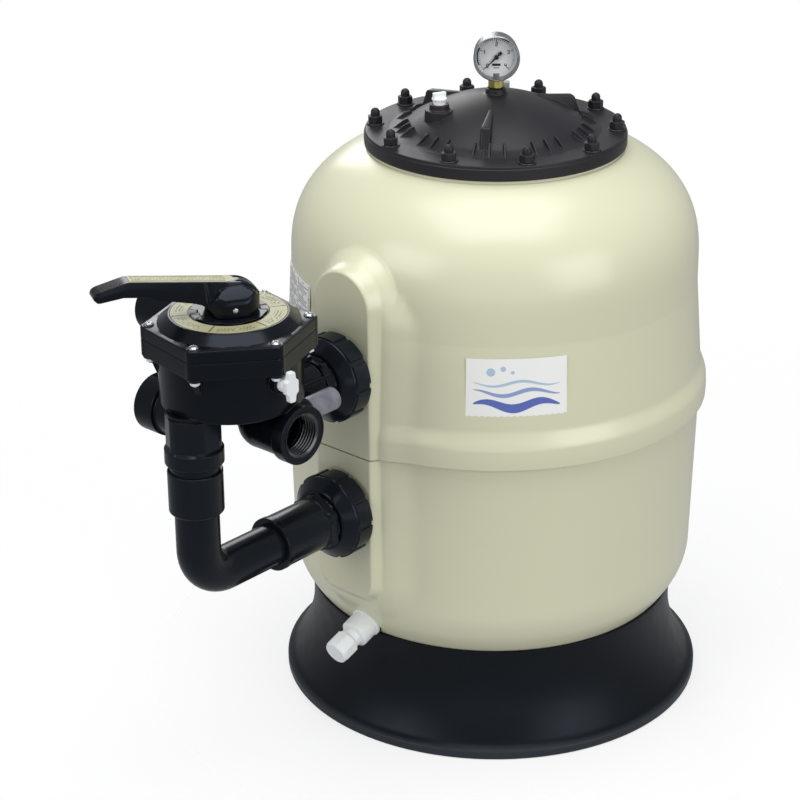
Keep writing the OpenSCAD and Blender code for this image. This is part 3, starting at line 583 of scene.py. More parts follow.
def rib(shape, stations, turn, low_of, soft):
    """A moulded rib along +X: stations are (distance, top height, half width)."""
    sections = []
    for x, top, half in stations:
        low = low_of(x)
        s = min(soft, half * 0.8, max(top - low, 0.2) * 0.45)
        outline = [(-half - 0.9, low), (-half, top - s)]
        outline += [(-half + s * 0.3, top - s * 0.3), (-half + s, top), (half - s, top),
                (half - s * 0.3, top - s * 0.3)]
        outline += [(half, top - s), (half + 0.9, low)]
        sections.append([(x, y, z) for y, z in outline])
    shape.loft(sections, spin(turn))


def build_lid():
    shape = Shape()
    inner_foot = MOUTH_R - 2
    path = [(0.4, LID_Z + 4 + LID_RISE)]
    path += [(r, LID_Z + 4 + LID_RISE * (1 - (r / inner_foot) ** 2))
            for r in [inner_foot * i / 18 for i in range(1, 19)]]
    path += rounded_path([(inner_foot, LID_Z + 3, 0), (inner_foot, LID_Z, 1), (NECK_R + 0.5, LID_Z, 0.2),
            (NECK_R + 0.5, LID_Z - 5.5, 0.6), (LID_R - 0.3, LID_Z - 5.5, 1.0), (LID_R, LID_Z - 3, 0.8),
            (LID_R, LID_Z + 8, 1.0), (LID_R - 1.2, LID_Z + 8.6, 0.6), (LID_R - 1.2, LID_TOP, 2.2),
            (MOUTH_R + 9, LID_TOP, 6), (MOUTH_R - 5, dome_z(MOUTH_R - 5), 0)], 4)
    path += [(r, dome_z(r)) for r in [MOUTH_R - 10 - 98.0 * i / 26 for i in range(27)]]
    path += rounded_path([(9.8, dome_z(9.8), 0), (9.2, LID_TOP + 41.5, 0)], 2)
    path += [(0.4, LID_TOP + 41.7)]
    shape.turned(path, 180, None, True)
    # boss under the gauge
    shape.turned(rounded_path([(0.4, LID_TOP + 38, 0), (17, LID_TOP + 38, 0), (15.5, LID_TOP + 41.2, 2.5),
            (12.4, LID_TOP + 42.0, 2), (12, LID_TOP + 48, 1.5), (6.2, LID_TOP + 48, 0.6),
            (6.2, LID_TOP + 44, 0), (0.4, LID_TOP + 44, 0)], 4), 96)
    # three long ribs with a steep outer end
    for turn in LONG_RIBS:
        stations = []
        for i in range(13):
            x = 36.0 + (99.0 - 36.0) * i / 12
            stations.append((x, LID_TOP + 38.4 - 9.4 * (x - 20) / 79, 2.4 + 3.6 * i / 12))
        stations += [(100.6, LID_TOP + 28.3, 6.1), (101.8, LID_TOP + 26.8, 6.0),
                (102.6, LID_TOP + 23.5, 5.9), (106.5, LID_TOP + 14.0, 5.4), (112.5, LID_TOP + 1.5, 5.0)]
        rib(shape, stations, turn, lambda x: dome_z(min(x, 112)) - 3.5, 2.2)
        rib(shape, [(101.5, LID_TOP + 9.0, 1.3), (112.0, LID_TOP + 6.5, 1.3),
                (124.0, LID_TOP + 0.4, 1.3)], turn, lambda x: LID_TOP - 1.5, 0.6)
    # gussets round the foot of the dome, three between bolts
    for i in range(BOLTS):
        for k in (1, 2, 3):
            turn = i * 36 + k * 9
            if any(abs((turn - a + 180) % 360 - 180) < 2.5 for a in LONG_RIBS):
                continue
            rib(shape, [(104.0, dome_z(104) + 1.2, 1.3), (105.0, LID_TOP + 12.2, 1.3),
                    (106.4, LID_TOP + 12.6, 1.3), (112.0, LID_TOP + 10.0, 1.3),
                    (123.0, LID_TOP + 1.0, 1.3), (124.2, LID_TOP - 0.4, 1.3)], turn,
                    lambda x: LID_TOP - 1.5, 0.8)
    # stepped round boss for the purge screw
    shape.turned(rounded_path([(0.4, LID_TOP + 10, 0), (17.9, LID_TOP + 10, 0),
            (17.4, LID_TOP + 30.8, 1.6), (13.0, LID_TOP + 31.0, 1.4), (11.9, LID_TOP + 32.0, 0.8),
            (11.5, 757.5, 1.0), (8.3, 757.5, 0.5), (8.1, 754, 0), (0.4, 754, 0)], 4), 96, AT_PURGE)
    # low pads under the washers
    for i in range(BOLTS):
        at = spin(360.0 / BOLTS * i) @ move(BOLT_R)
        shape.turned(rounded_path([(0.4, LID_TOP - 2, 0), (11.6, LID_TOP - 2, 0), (11.2, LID_TOP, 0.4),
                (0.4, LID_TOP, 0)], 2), 48, at)
    shape.piece("lid_dome", LID, "tank", "lid_plastic", ("lid",))


def build_bolts():
    nuts, washers = Shape(), Shape()
    hexed = hexagon(9.4)
    for i in range(BOLTS):
        at = spin(360.0 / BOLTS * i) @ move(BOLT_R, 0, LID_TOP + 1.5) @ spin(17.0 * i)
        cap = [(5.5, 9.0), (5.5, 12.4)]
        cap += [(5.5 * math.cos(math.radians(a)), 12.9 + 5.6 * math.sin(math.radians(a))) for a in (0, 12,
                26, 40, 54, 68, 80, 86)]
        path = [(8.4, 0.0), (9.2, 0.7), (9.4, 1.2), (9.4, 7.7), (9.1, 8.4), (8.0, 9.0), (5.9, 9.0)]
        nuts.turned(path + cap, 72, at, False, lambda r, z, a: hexed(r, z, a) if z < 9.01 else r)
        washers.turned(rounded_path([(4.6, 0, 0.1), (10.2, 0, 0.4), (10.2, 1.4, 0.5), (4.6, 1.4, 0.1)], 3,
                True), 64, spin(360.0 / BOLTS * i) @ move(BOLT_R, 0, LID_TOP + 0.05), True)
    nuts.piece("lid_cap_nuts", LID, "tank", "black_plastic", ("lid_nuts",))
    washers.piece("lid_washer_rings", WASHER, "tank", "steel", ("lid_washers",))


def build_lid_key():
    shape = Shape()
    outline = rounded_path([(-8.8, -7.8, 1.2), (8.8, -7.8, 1.2), (8.8, 7.8, 1.2), (-8.8, 7.8, 1.2)], 3,
            True)
    shape.prism(outline, LID_TOP + 0.1, LID_TOP + 12, 0.8, spin(126.0) @ move(BOLT_R))
    outline = rounded_path([(-8.8, -7.8, 1.2), (2.4, -7.8, 1.2), (2.4, 7.8, 1.2), (-8.8, 7.8, 1.2)], 3,
            True)
    shape.prism(outline, LID_TOP + 10, LID_TOP + 15.5, 0.8, spin(126.0) @ move(BOLT_R))
    shape.piece("lid_key_block", GREY, "tank", "grey_plastic", ("lid_locating_key",))


build_lid()
build_lid_key()
build_bolts()


# ---- Unions, connecting pipe and drain -----------------------------------------------------
UPPER_Z, LOWER_Z, UNION_Y, RISER_Y = 488.0, 312.5, 280.5, 511.0


def build_union(name, z, body, node):
    """Union nut: a ring with ten shallow grips and a long front cone."""
    shape = Shape()

    def grips(r, h, a):
        if r < 48.9 or h > 23.5:
            return r
        off = abs((a / (2 * math.pi) * 10) % 1.0 - 0.5) * 2.0
        lift = smooth01((0.84 - off) / 0.05) * smooth01((22.9 - h) / 1.0)
        return r + 2.0 * lift

    path = [(38.5, 0.6), (39.0, 0.0), (49.0, 0.0), (49.7, 0.4), (50.0, 1.2), (50.0, 8.0), (50.0, 15.0),
            (50.0, 20.0), (50.0, 21.9), (50.0, 22.2), (50.0, 22.5), (50.0, 22.9), (49.9, 24.0),
            (49.3, 25.0), (43.9, 29.7), (38.4, 34.5), (37.0, 35.5), (35.6, 36.0), (33.0, 36.0),
            (31.9, 35.2), (31.7, 34.5), (31.7, 31.5), (38.5, 31.3)]
    shape.turned(path, 400, along_y(UNION_Y, z), True, grips)
    shape.piece(name, PIPE, body, "black_plastic", (node,), 30.0)


def build_lower_adapter():
    shape = Shape()
    at = along_y(0.0, LOWER_Z)
    six = hexagon(36.6, math.radians(30.0))
    path = rounded_path([(22.2, 303, 0), (37.2, 303, 0.5), (37.2, 308.8, 0.5), (31, 309, 0.6),
            (31, 317.5, 0.5), (32.6, 317.7, 0.6), (36.4, 319.6, 1.2), (36.4, 327.4, 1.2),
            (32.8, 330.4, 1.5), (31.2, 331.2, 1.0), (31.4, 391.0, 0.4), (32.2, 392.0, 0.6),
            (32.2, 399.4, 1.0), (30.6, 400, 0.6), (25.1, 400, 0.3), (25.0, 341, 0), (22.2, 341, 0)], 3,
            True)
    shape.turned(path, 144, at, True, lambda r, z, a: six(r, z, a) if 318 < z < 330.3 and r > 32.4 else r)
    shape.piece("lower_adapter_socket", PIPE, "tank", "pipe_plastic", ("lower_adapter",), 34.0)


def build_pipe():
    sections = []
    line = [(340 + 133 * k / 6, LOWER_Z, 90.0) for k in range(7)]
    line += [(473 + 38 * math.sin(math.radians(a)), LOWER_Z + 38 - 38 * math.cos(math.radians(a)),
            90.0 - a) for a in (2, 8, 15, 22.5, 30, 37.5, 45, 52.5, 60, 67.5, 75, 82, 88)]
    line += [(511, LOWER_Z + 38 + k * 91.5 / 5, 0.0) for k in range(6)]
    for y, z, lean in line:
        c, s = math.cos(math.radians(lean)), math.sin(math.radians(lean))
        ring = []
        for i in range(96):
            a = 2 * math.pi * i / 96
            across, side = 25.0 * math.cos(a), 25.0 * math.sin(a)
            ring.append((side, -(y - across * c), z + across * s))
        sections.append(ring)
    shape = Shape()
    shape.loft(sections)
    shape.piece("pipe_elbow", PIPE, "tank", "pipe_plastic", ("connecting_pipe",), 30.0)
    shape = Shape()
    at = move(0, -RISER_Y, 0)
    shape.turned(rounded_path([(25.1, 400, 0), (29.8, 400, 0.6), (30.9, 401.6, 0.8), (30.9, 449, 1.0),
            (29.6, 450, 0.5), (22.2, 450, 0), (22.2, 441, 0), (25.1, 441, 0)], 3, True), 128, at, True)
    shape.piece("riser_socket", PIPE, "tank", "pipe_plastic", ("riser_sleeve",), 30.0)
    shape = Shape()
    flats = hexagon(33.4, math.radians(30.0))
    path = rounded_path([(20.2, 450, 0), (28, 450.3, 0), (28, 457.8, 0.5), (31.6, 458.2, 0.8),
            (33.0, 460, 1.2), (33.0, 476, 1.2), (31.4, 478.4, 0.8), (31.0, 480.5, 0.6), (31.0, 515.8, 0),
            (20.2, 515.8, 0)], 3, True)
    shape.turned(path, 144, at, True, lambda r, z, a: flats(r, z, a) if z > 477.6 and r > 29 else r)
    shape.piece("riser_collar", PIPE, "tank", "pipe_plastic", ("riser_adapter",), 30.0)


def build_drain():
    at = Matrix.Translation((0, -231.0, 147.0)) @ Matrix.Rotation(math.radians(110.0), 4, "X")
    shape = Shape()
    shape.turned(rounded_path([(8, -16, 0), (12, -16, 0.8), (12, 6.6, 0), (19.8, 6.7, 0.6),
            (20, 10.6, 0.8), (18.3, 11.4, 1.0), (18.3, 32.6, 2.2), (15.2, 34.2, 1.2), (13.1, 35.2, 0.8),
            (13.0, 43, 0.5), (11.9, 43.4, 0), (11.9, 56, 0.6), (8, 56, 0.4)], 4, True), 96, at, True)
    shape.piece("drain_collar", WHITE, "tank", "white_plastic", ("drain_spigot",), 34.0)
    shape = Shape()

    def facets(r, h, a):
        if r < 13 or h < 45.5 or h > 68.5:
            return r
        off = (a + math.pi / 8) % (math.pi / 4) - math.pi / 8
        return min(r, 16.2 * math.cos(math.pi / 8) / math.cos(off) * 1.03)

    shape.turned(rounded_path([(12.3, 45, 0.3), (15.4, 45, 0.8), (16.8, 47, 1.6), (16.8, 63.5, 2.2),
            (14.4, 68.9, 1.6), (0.4, 69, 0), (0.4, 58.4, 0), (12.3, 58.4, 0.3)], 4, True), 120, at, True,
            facets)
    shape.piece("drain_cap_faceted", WHITE, "drain_closure", "white_plastic", ("drain_cap",), 24.0)


build_union("upper_nut_ring", UPPER_Z, "upper_nut", "upper_union_nut")
build_union("lower_nut_ring", LOWER_Z, "lower_nut", "lower_union_nut")
build_lower_adapter()
build_pipe()
build_drain()

# ---- Selector valve ------------------------------------------------------------------------
VALVE_Y, VALVE_Z, VALVE_R, PORT_Z = 451.0, 516.5, 80.0, 488.0
SCREW_R, SCREW_AT, LEVER_AT, PIVOT_Z = 87.0, -10.0, -119.0, 628.0
AT_VALVE = Matrix.Translation((0.0, -VALVE_Y, 0.0))
AT_PLUG = AT_VALVE @ move(0, 0, 559) @ spin(-5) @ along_x(0, 0, 0)
AT_SIGHT = Matrix.Translation((53, -431, 495)) @ spin(-90.0, "X")


def rim_radius(a):
    """Outline of the two flanges: a rounded hexagon with a round ear at each corner."""
    off = (a - math.radians(SCREW_AT) + math.pi / 6) % (math.pi / 3) - math.pi / 6
    side = min(95.5, 84.5 / math.cos(math.pi / 6 - abs(off)))
    reach = SCREW_R * math.sin(off)
    ear = SCREW_R * math.cos(off) + math.sqrt(9.5 ** 2 - reach ** 2) if abs(reach) < 9.5 else 0.0
    return max(side, ear, 84.5)


def rim(r, z, a):
    """Radii above 200 stand for the rim's outline, less the amount they fall short of 300."""
    return rim_radius(a) - (300.0 - r) if r > 200 else r


def build_valve_body():
    shape = Shape()
    cup = rounded_path([(0.4, VALVE_Z, 0), (VALVE_R, VALVE_Z, 3.0), (VALVE_R, 591.9, 0), (74, 591.9, 0),
            (74, 526, 2), (0.4, 526, 0)], 5)
    shape.turned(cup, 180, AT_VALVE)
    shape.turned([(79.0, 574.5), (79.6, 572.6), (298.5, 572.0), (299.5, 572.3), (300.0, 573.2),
            (300.0, 590.8), (299.4, 591.8), (79.0, 591.8)], 480, AT_VALVE, True, rim)
    for i in range(6):
        at = AT_VALVE @ spin(SCREW_AT + 60 * i) @ move(SCREW_R)
        shape.turned(rounded_path([(2.6, 569, 0), (7.6, 569, 0.8), (8.6, 572.5, 0.5), (2.6, 572.5, 0)], 2,
                True), 40, at, True)
        shape.loft([[(-13.0, -3.2, 548.0), (-13.0, 3.2, 548.0), (-5.6, 3.0, 552.0), (-5.6, -3.0, 552.0)],
                [(-13.0, -4.4, 572.4), (-13.0, 4.4, 572.4), (2.0, 4.2, 572.4), (2.0, -4.2, 572.4)]], at)
    # lower neck of the outlet and the duct that leads to the wall port
    shape.turned(rounded_path([(23.7, 497, 0), (28.9, 497, 0.5), (28.9, 520, 0), (23.7, 520, 0)], 2,
            True), 96, move(0, -RISER_Y, 0), True)
    shape.turned(rounded_path([(22, 303, 0), (37.2, 303, 0.5), (37.2, 308.8, 0.6), (31, 309, 0.8),
            (30.9, 317.4, 0.5), (33.5, 318.2, 0.8), (36.4, 320, 1.0), (36.4, 327, 1.0), (33, 330, 1.2),
            (30, 331, 1.0), (30, 411, 0), (22, 411, 0)], 3, True), 144, along_y(0.0, PORT_Z), True,
            lambda r, z, a: hexagon(36.6)(r, z, a) if 318.3 < z < 329.9 and r > 32 else r)
    for a in (35.0, 90.0, 145.0):
        shape.loft([[(27.0, -2.2, 326.0), (38.0, -1.8, 326.0), (38.0, 1.8, 326.0), (27.0, 2.2, 326.0)],
                [(27.0, -2.2, 350.0), (36.5, -1.8, 350.0), (36.5, 1.8, 350.0), (27.0, 2.2, 350.0)],
                [(27.0, -2.2, 384.0), (33.0, -1.8, 384.0), (33.0, 1.8, 384.0), (27.0, 2.2, 384.0)]],
                along_y(0.0, PORT_Z) @ spin(a))
    ball = [(30.3 * math.cos(math.radians(a)), 30.3 * math.sin(math.radians(a))) for a in range(-88, 89,
            8)]
    for x, y in ((0.0, -VALVE_Y + 40), (30.0, -431.0), (-48.0, -471.0)):
        shape.turned(ball, 72, move(x, y, PORT_Z))
        shape.turned([(29.5, PORT_Z - 2), (29.5, VALVE_Z + 1.5)], 72, move(x, y))
    # moulded web under the chamber
    shape.loft([[(-30.0, -9.0, VALVE_Z - 18), (26.0, -9.0, VALVE_Z - 18), (26.0, 9.0, VALVE_Z - 18),
            (-30.0, 9.0, VALVE_Z - 18)], [(-40.0, -10.0, VALVE_Z + 1), (36.0, -10.0, VALVE_Z + 1),
            (36.0, 10.0, VALVE_Z + 1), (-40.0, 10.0, VALVE_Z + 1)]], AT_VALVE)
    thread = [(25.3, -0.6)]
    for k in range(6):
        thread += [(24.6, -0.8 - 3.8 * k), (22.4, -2.2 - 3.8 * k), (22.4, -2.8 - 3.8 * k),
                (24.6, -3.6 - 3.8 * k)]
    thread += [(25.3, -24.0)]

    def port(x, y, z, length, collar, wide, narrow, back):
        path = [(narrow, -length)]
        path += rounded_path([(narrow, -length, 0), (narrow, -collar - 1.6, 1.4), (wide, -collar, 1.2),
                (wide, -1.2, 0), (wide, 0, 1.4), (wide - 2.2, 0, 0.5), (wide - 3.0, -0.9, 0.4),
                (26.8, -0.9, 0.6), (26.2, 0, 0.5), (25.2, 0, 0.4)], 3)[1:]
        path += [(25.2, -24.5), (21.6, -25.0), (21.6, -length)]
        shape.turned(path, 96, along_x(x, y, z, back), True)
        # the thread ridges take the lighter black, a painted highlight
        shape.turned(thread, 96, along_x(x, y, z, back), True, None, 1)

    port(88.0, -431.0, PORT_Z, 58.0, 16.0, 33.5, 30.0, False)
    port(-104.0, -471.0, PORT_Z, 56.0, 28.0, 33.5, 30.0, True)
    port(-174.0, -404.0, 566.0, 106.0, 62.0, 30.0, 25.3, True)
    # bosses for the plug and the sight glass
    shape.turned(rounded_path([(6.1, 70, 0), (12.4, 70, 0), (12.4, 88.6, 1.2), (9.4, 89, 0.4),
            (9.2, 85.2, 0), (6.1, 85.2, 0)], 3, True), 64, AT_PLUG, True)
    shape.turned(rounded_path([(12.1, 22, 0), (15.9, 22, 0), (15.9, 37.9, 1.0), (12.1, 37.9, 0.4)], 3,
            True), 64, AT_SIGHT, True)
    shape.piece("valve_chamber", [BLACK, THREAD], "tank", "black_plastic", ("valve_body",), 32.0)


def build_valve_lid():
    shape = Shape()
    path = [(78.6, 592.1), (298.6, 592.1), (299.5, 592.4), (300.0, 593.2), (300.0, 604.6), (299.5, 605.5),
            (298.4, 606.0), (294.0, 606.4), (78.5, 607.2)]
    path += rounded_path([(78.4, 607.3, 0), (67.2, 615.9, 0.8), (66.2, 617, 0.6), (64.3, 617, 0.3),
            (64.2, 615.8, 0), (44.2, 615.8, 0), (44.2, 617, 0.3), (37, 617.1, 0.5), (36, 616.6, 0.5),
            (11.3, 616.6, 0.2), (11.2, 600, 0), (30, 598, 0), (78.6, 598, 0)], 3)
    shape.turned(path, 480, AT_VALVE, True, rim)
    for i in range(6):
        at = AT_VALVE @ spin(SCREW_AT + 60 * i) @ move(SCREW_R)
        shape.turned(rounded_path([(2.6, 604, 0), (8.4, 604, 0), (7.9, 606.7, 0.5), (2.6, 606.7, 0)], 2,
                True), 40, at, True)
    shape.piece("valve_cover", BLACK, "tank", "black_plastic", ("valve_lid",), 32.0)


def build_valve_fixings():
    heads, nuts = Shape(), Shape()
    for i in range(6):
        at = AT_VALVE @ spin(SCREW_AT + 60 * i) @ move(SCREW_R) @ spin(23.0 * i)
        verts, rows, cols = [], [0.15 * k for k in range(1, 28)] + [4.6, 5.2, 5.7, 5.95, 6.0, 5.8,
                2.4], 48
        for j, r in enumerate(rows):
            for k in range(cols):
                a = 2 * math.pi * k / cols
                x, y = r * math.cos(a), r * math.sin(a)
                z = 609.7 - 2.2 * (r / 6.0) ** 4
                cut = max(smooth01((0.9 - abs(x)) / 0.3),
                        smooth01((0.9 - abs(y)) / 0.3)) * smooth01((3.5 - r) / 0.3)
                z -= 1.5 * cut
                if j >= len(rows) - 2:
                    z = 606.9
                verts.append((x, y, z))
        faces = ring_faces(len(rows), cols)
        faces += [tuple(reversed(range(cols))), tuple(range((len(rows) - 1) * cols, len(rows) * cols))]
        heads.add(verts, faces, at)
        heads.turned([(2.45, 563.0), (2.45, 606.9)], 24, at)
        hexed = hexagon(5.5)
        nuts.turned(rounded_path([(2.6, 565, 0.3), (5.0, 565, 0.3), (5.5, 565.6, 0.3), (5.5, 568.8, 0.3),
                (2.6, 568.9, 0.3)], 2, True), 36, at, True, lambda r, z, a: hexed(r, z, a))
    heads.piece("cross_head_screws", STEEL, "tank", "steel", ("valve_screws",), 30.0)
    nuts.piece("flange_nuts", WHITE, "tank", "white_plastic", ("valve_nuts",), 30.0)


def arc_band(shape, r0, r1, a0, a1, z0, z1, matrix, steps=12, tag=0):
    """A flat arc-shaped bar between two radii."""
    sections = []
    for k in range(steps + 1):
        a = math.radians(a0 + (a1 - a0) * k / steps)
        c, s = math.cos(a), math.sin(a)
        sections.append([(r0 * c, r0 * s, z0), (r1 * c, r1 * s, z0), (r1 * c, r1 * s, z1),
                (r0 * c, r0 * s, z1)])
    shape.loft(sections, matrix, tag)


def build_dial_ring():
    shape = Shape()
    shape.turned(rounded_path([(44.6, 615.9, 0), (63.9, 615.9, 0), (63.9, 617.5, 0.4),
            (44.6, 617.5, 0.3)], 3, True), 160, AT_VALVE, True)
    shape.piece("position_ring", CREAM, "tank", "dial_cream", ("dial_plate",), 32.0)
    marks = Shape()
    for i in range(6):
        lead = -64.0 + 60.0 * i
        arc_band(marks, 45.4, 63.0, lead - 0.7, lead + 0.7, 617.35, 617.6, AT_VALVE, 1)
        # a short stroke pattern in each sector, different for each position
        for row, (r, thick) in enumerate(((60.6, 0.55), (57.4, 1.5), (53.6, 1.5), (50.4, 0.55))):
            step = 0
            for k in range(11):
                wide = (2.2, 3.4, 1.4, 2.8)[(k * 3 + i * 2 + row) % 4]
                start = lead + 7.0 + step
                step += wide + (1.2, 1.9, 1.0)[(k + i + row) % 3]
                if start + wide > lead + 53.0:
                    break
                if (k * 5 + i * 3 + row * 2) % 7 != 6:
                    arc_band(marks, r - thick / 2, r + thick / 2, start, start + wide * 0.8, 617.4,
                            617.58, AT_VALVE, 2)
    marks.piece("position_marks", INK, "tank", "black_plastic", (), 32.0)


def build_index_washer():
    at = AT_VALVE @ spin(LEVER_AT)
    shape = Shape()

    def notched(r, z, a):
        if r < 30:
            return r
        off = abs((a + math.pi / 2) % math.pi - math.pi / 2)
        notch = smooth01((math.radians(21.0) - off) / math.radians(3.0))
        wave = 0.9 * math.sin(9 * a + 0.6) + 0.6 * math.sin(5 * a)
        return r - 8.5 * notch + (wave if off > math.radians(24.0) else 0.0)

    shape.turned(rounded_path([(11.2, 617.3, 0.2), (42.0, 617.3, 0.3), (42.0, 619.1, 0.5),
            (11.2, 619.1, 0.2)], 3, True), 200, at, True, notched)
    shape.loft([[(32.0, -1.6, 617.4), (41.6, -0.5, 617.4), (41.6, 0.5, 617.4), (32.0, 1.6, 617.4)],
            [(32.0, -1.4, 619.2), (40.6, -0.4, 619.2), (40.6, 0.4, 619.2), (32.0, 1.4, 619.2)]], at)
    shape.piece("indicator_disc", BLACK, "indexer", "black_plastic", ("index_washer",), 32.0)
    shape = Shape()
    for lead, half in ((0.0, 17.0), (180.0, 18.0)):
        for a0, a1 in ((lead - half, lead - 3.4), (lead + 3.4, lead + half)):
            arc_band(shape, 34.8, 43.2, a0, a1, 617.4, 619.6, at, 5)
    shape.piece("indicator_lugs", GREY, "indexer", "grey_plastic", (), 32.0)


def build_plug_and_sight():
    shape = Shape()
    shape.turned(rounded_path([(0.4, 76, 0), (5.9, 76, 0.5), (5.9, 87.4, 0), (8.8, 87.5, 0.8),
            (8.8, 97.6, 0.8), (0.4, 97.6, 0)], 3), 64, AT_PLUG)
    outline = rounded_path([(-17.5, -4.0, 2.4), (-9.5, -5.0, 1.5), (-6.6, -8.4, 1.8), (6.6, -8.4, 1.8),
            (9.5, -5.0, 1.5), (17.5, -4.0, 2.4), (17.5, 4.0, 2.4), (9.5, 5.0, 1.5), (6.6, 8.4, 1.8),
            (-6.6, 8.4, 1.8), (-9.5, 5.0, 1.5), (-17.5, 4.0, 2.4)], 3, True)
    shape.prism(outline, 97.4, 104.4, 0.9, AT_PLUG)
    shape.piece("wing_plug_head", WHITE, "plug", "white_plastic", ("wing_plug",), 32.0)
    shape = Shape()
    path = rounded_path([(9.0, 26, 0), (11.8, 26, 0.4), (11.8, 40, 0), (13.3, 40.2, 0.6), (13.3, 86, 3.2),
            (0.4, 86, 0)], 6)
    path += rounded_path([(0.4, 82, 0), (9.0, 82, 1.5), (9.0, 26, 0)], 4)
    shape.turned(path[:-1], 96, AT_SIGHT, True)
    shape.piece("sight_tube", SIGHT, "tank", "clear_plastic", ("sight_glass",), 32.0)


build_valve_body()
build_valve_lid()
build_valve_fixings()
build_dial_ring()
build_index_washer()
build_plug_and_sight()

# ---- Handle --------------------------------------------------------------------------------
AT_LEVER = AT_VALVE @ spin(LEVER_AT) @ move(0, 0, PIVOT_Z)
ARM_HALF, ARM_SLOPE = 12.5, 12.0 / 97.0


def along(points, x):
    for (x0, z0), (x1, z1) in zip(points, points[1:]):
        if x <= x1:
            return z0 + (z1 - z0) * max(0.0, (x - x0) / (x1 - x0))
    return points[-1][1]


def lever_half(x):
    """Half width of the handle in plan: round hub, flared neck, slim arm."""
    hub = min(29.6, math.sqrt(max(0.0, 32.0 ** 2 - (x + 2.0) ** 2)))
    if x < 8:
        return hub
    flare = ARM_HALF + 14.0 * (1.0 - smooth01((x - 13.0) / 17.0))
    if x > 140:
        flare -= 1.6 * ((x - 140.0) / 9.0) ** 2
    return max(hub, flare)


def lever_top(x, y):
    """Height of the handle's upper surface: a crowned hub crossed by the raised band of the arm."""
    arm = along([(14, 28.5), (106, 39.9), (111, 40.3), (116, 39.4), (144, 32.5), (147.5, 30.8),
            (149, 28.0)], x)
    if x < 14:
        arm = 28.5 + (x - 14) * ARM_SLOPE if x > -8 else -40.0
    ridge = -8.6 + math.sqrt(max(0.0, 34.9 ** 2 - (x + 4.0) ** 2)) if x < -6 else -40.0
    band = max(arm, ridge)
    crown = min(-10.0 + math.sqrt(max(0.0, 33.5 ** 2 - (x + 4.0) ** 2)),
            -9.0 + math.sqrt(max(0.0, 34.0 ** 2 - y * y)))
    crown = max(crown, lever_low(x) + 5.0)
    rib = smooth01((1.5 - abs(abs(y) - 8.2)) / 0.9) * smooth01((-7.0 - x) / 2.0)
    lift = smooth01((ARM_HALF + 0.6 - abs(y)) / 1.5)
    return crown + (band - crown) * lift - 1.5 * rib


def lever_low(x):
    if x <= 20:
        return -8.4 + max(0.0, abs(x) - 18.0) * 9.0 / 42.0
    return along([(20, -8.0), (24, -2.6), (32, 4.2), (40, 7.2), (68, 13.5), (97, 21.5), (117, 24),
            (140, 21.2), (145, 20.8), (149, 25.0)], x)


def build_handle():
    spots = [-2 - 31.9 * math.cos(math.radians(a)) for a in range(4, 88, 6)]
    spots += [-16.02, -16.0, 0, 3, 6, 9, 11, 13.0, 13.02, 14, 16, 18, 20, 22, 24, 26, 28, 30, 32, 34, 36,
            38, 42, 50, 60, 70, 80, 90, 97, 104, 108, 111, 114, 117, 124, 131, 138, 141, 143.5, 145.5,
            147, 148.2, 149]
    sections = []
    for x in sorted(spots):
        w, low = lever_half(x), lever_low(x)
        soft = min(2.0, w * 0.4)
        ys = [-w, -w + soft * 0.12, -w + soft * 0.45, -w + soft]
        drop = [soft, soft * 0.5, soft * 0.15, 0.0]
        inner = (-27, -24, -21, -18, -15.5, -13.4, -12.6, -11.8, -11.0, -9.8, -9.2, -8.6, -8.0, -7.4, -5,
                -2.5)
        inner = [v * min(1.0, (w - soft) / 28.0) if x < 2 else v * (w - soft) / 28.0 if w > 14.5 else v
                * (w - soft) / 27.5 for v in inner]
        half = list(zip(ys, drop)) + [(v, 0.0) for v in inner]
        both = half + [(0.0, 0.0)] + [(-y, d) for y, d in reversed(half)]
        room = 12.5 if -16.01 < x < 13.01 else low
        half_room = min(13.0, w - 1.2)
        ring = [(x, -half_room, room), (x, -half_room, low), (x, -w + 0.8, low), (x, -w, low + 0.8)]
        ring += [(x, y, max(lever_top(x, y) - d, low + 2.2 - d)) for y, d in both]
        ring += [(x, w, low + 0.8), (x, w - 0.8, low), (x, half_room, low), (x, half_room, room)]
        sections.append(ring)
    shape = Shape().loft(sections, AT_LEVER)
    shape.piece("lever_handle", BLACK, "lever", "black_plastic", ("handle",), 42.0)

    at = AT_LEVER @ move(14, 0, 28.5) @ Matrix.Rotation(-math.atan(ARM_SLOPE), 4, "Y") @ move(-14, 0, 0)
    strip = Shape()
    strip.prism(rounded_path([(-6.5, -7.0, 3.0), (6.0, -10.4, 4.0), (110.0, -10.4, 1.5),
            (110.0, 10.4, 1.5), (6.0, 10.4, 4.0), (-6.5, 7.0, 3.0)], 3, True), -0.6, 0.45, 0.15, at, 0, 1)
    strip.piece("lever_strip", CREAM, "lever", "dial_cream", ("handle_strip",), 30.0)
    lines = Shape()
    for y in (-8.2, -6.0, 6.0, 8.2):
        lines.prism(box_at(4.0, 107.5, y - 0.32, y + 0.32), 0.3, 0.55, 0.03, at, 0, 1)
    for k in range(27):
        long = (2.6, 1.6, 3.2)[k % 3]
        lines.prism(box_at(3.0 + 3.9 * k, 3.0 + 3.9 * k + long, -2.4, -1.5), 0.3, 0.55, 0.03, at, 0, 1)
        lines.prism(box_at(3.0 + 3.9 * k, 3.0 + 3.9 * k + (3.2, 2.6, 1.6)[k % 3], 1.5, 2.4), 0.3, 0.55,
                0.03, at, 0, 1)
    lines.piece("lever_strip_lines", INK, "lever", "black_plastic", (), 30.0)
    pin = Shape()
    pin.turned(rounded_path([(0.3, -30.6, 0), (3.0, -30.3, 0.8), (3.0, 30.3, 0.8), (0.3, 30.6, 0)], 4),
            40, AT_LEVER @ spin(90, "X"))
    pin.piece("lever_pin", STEEL, "rotor", "steel", ("handle_pin",), 40.0)


build_handle()

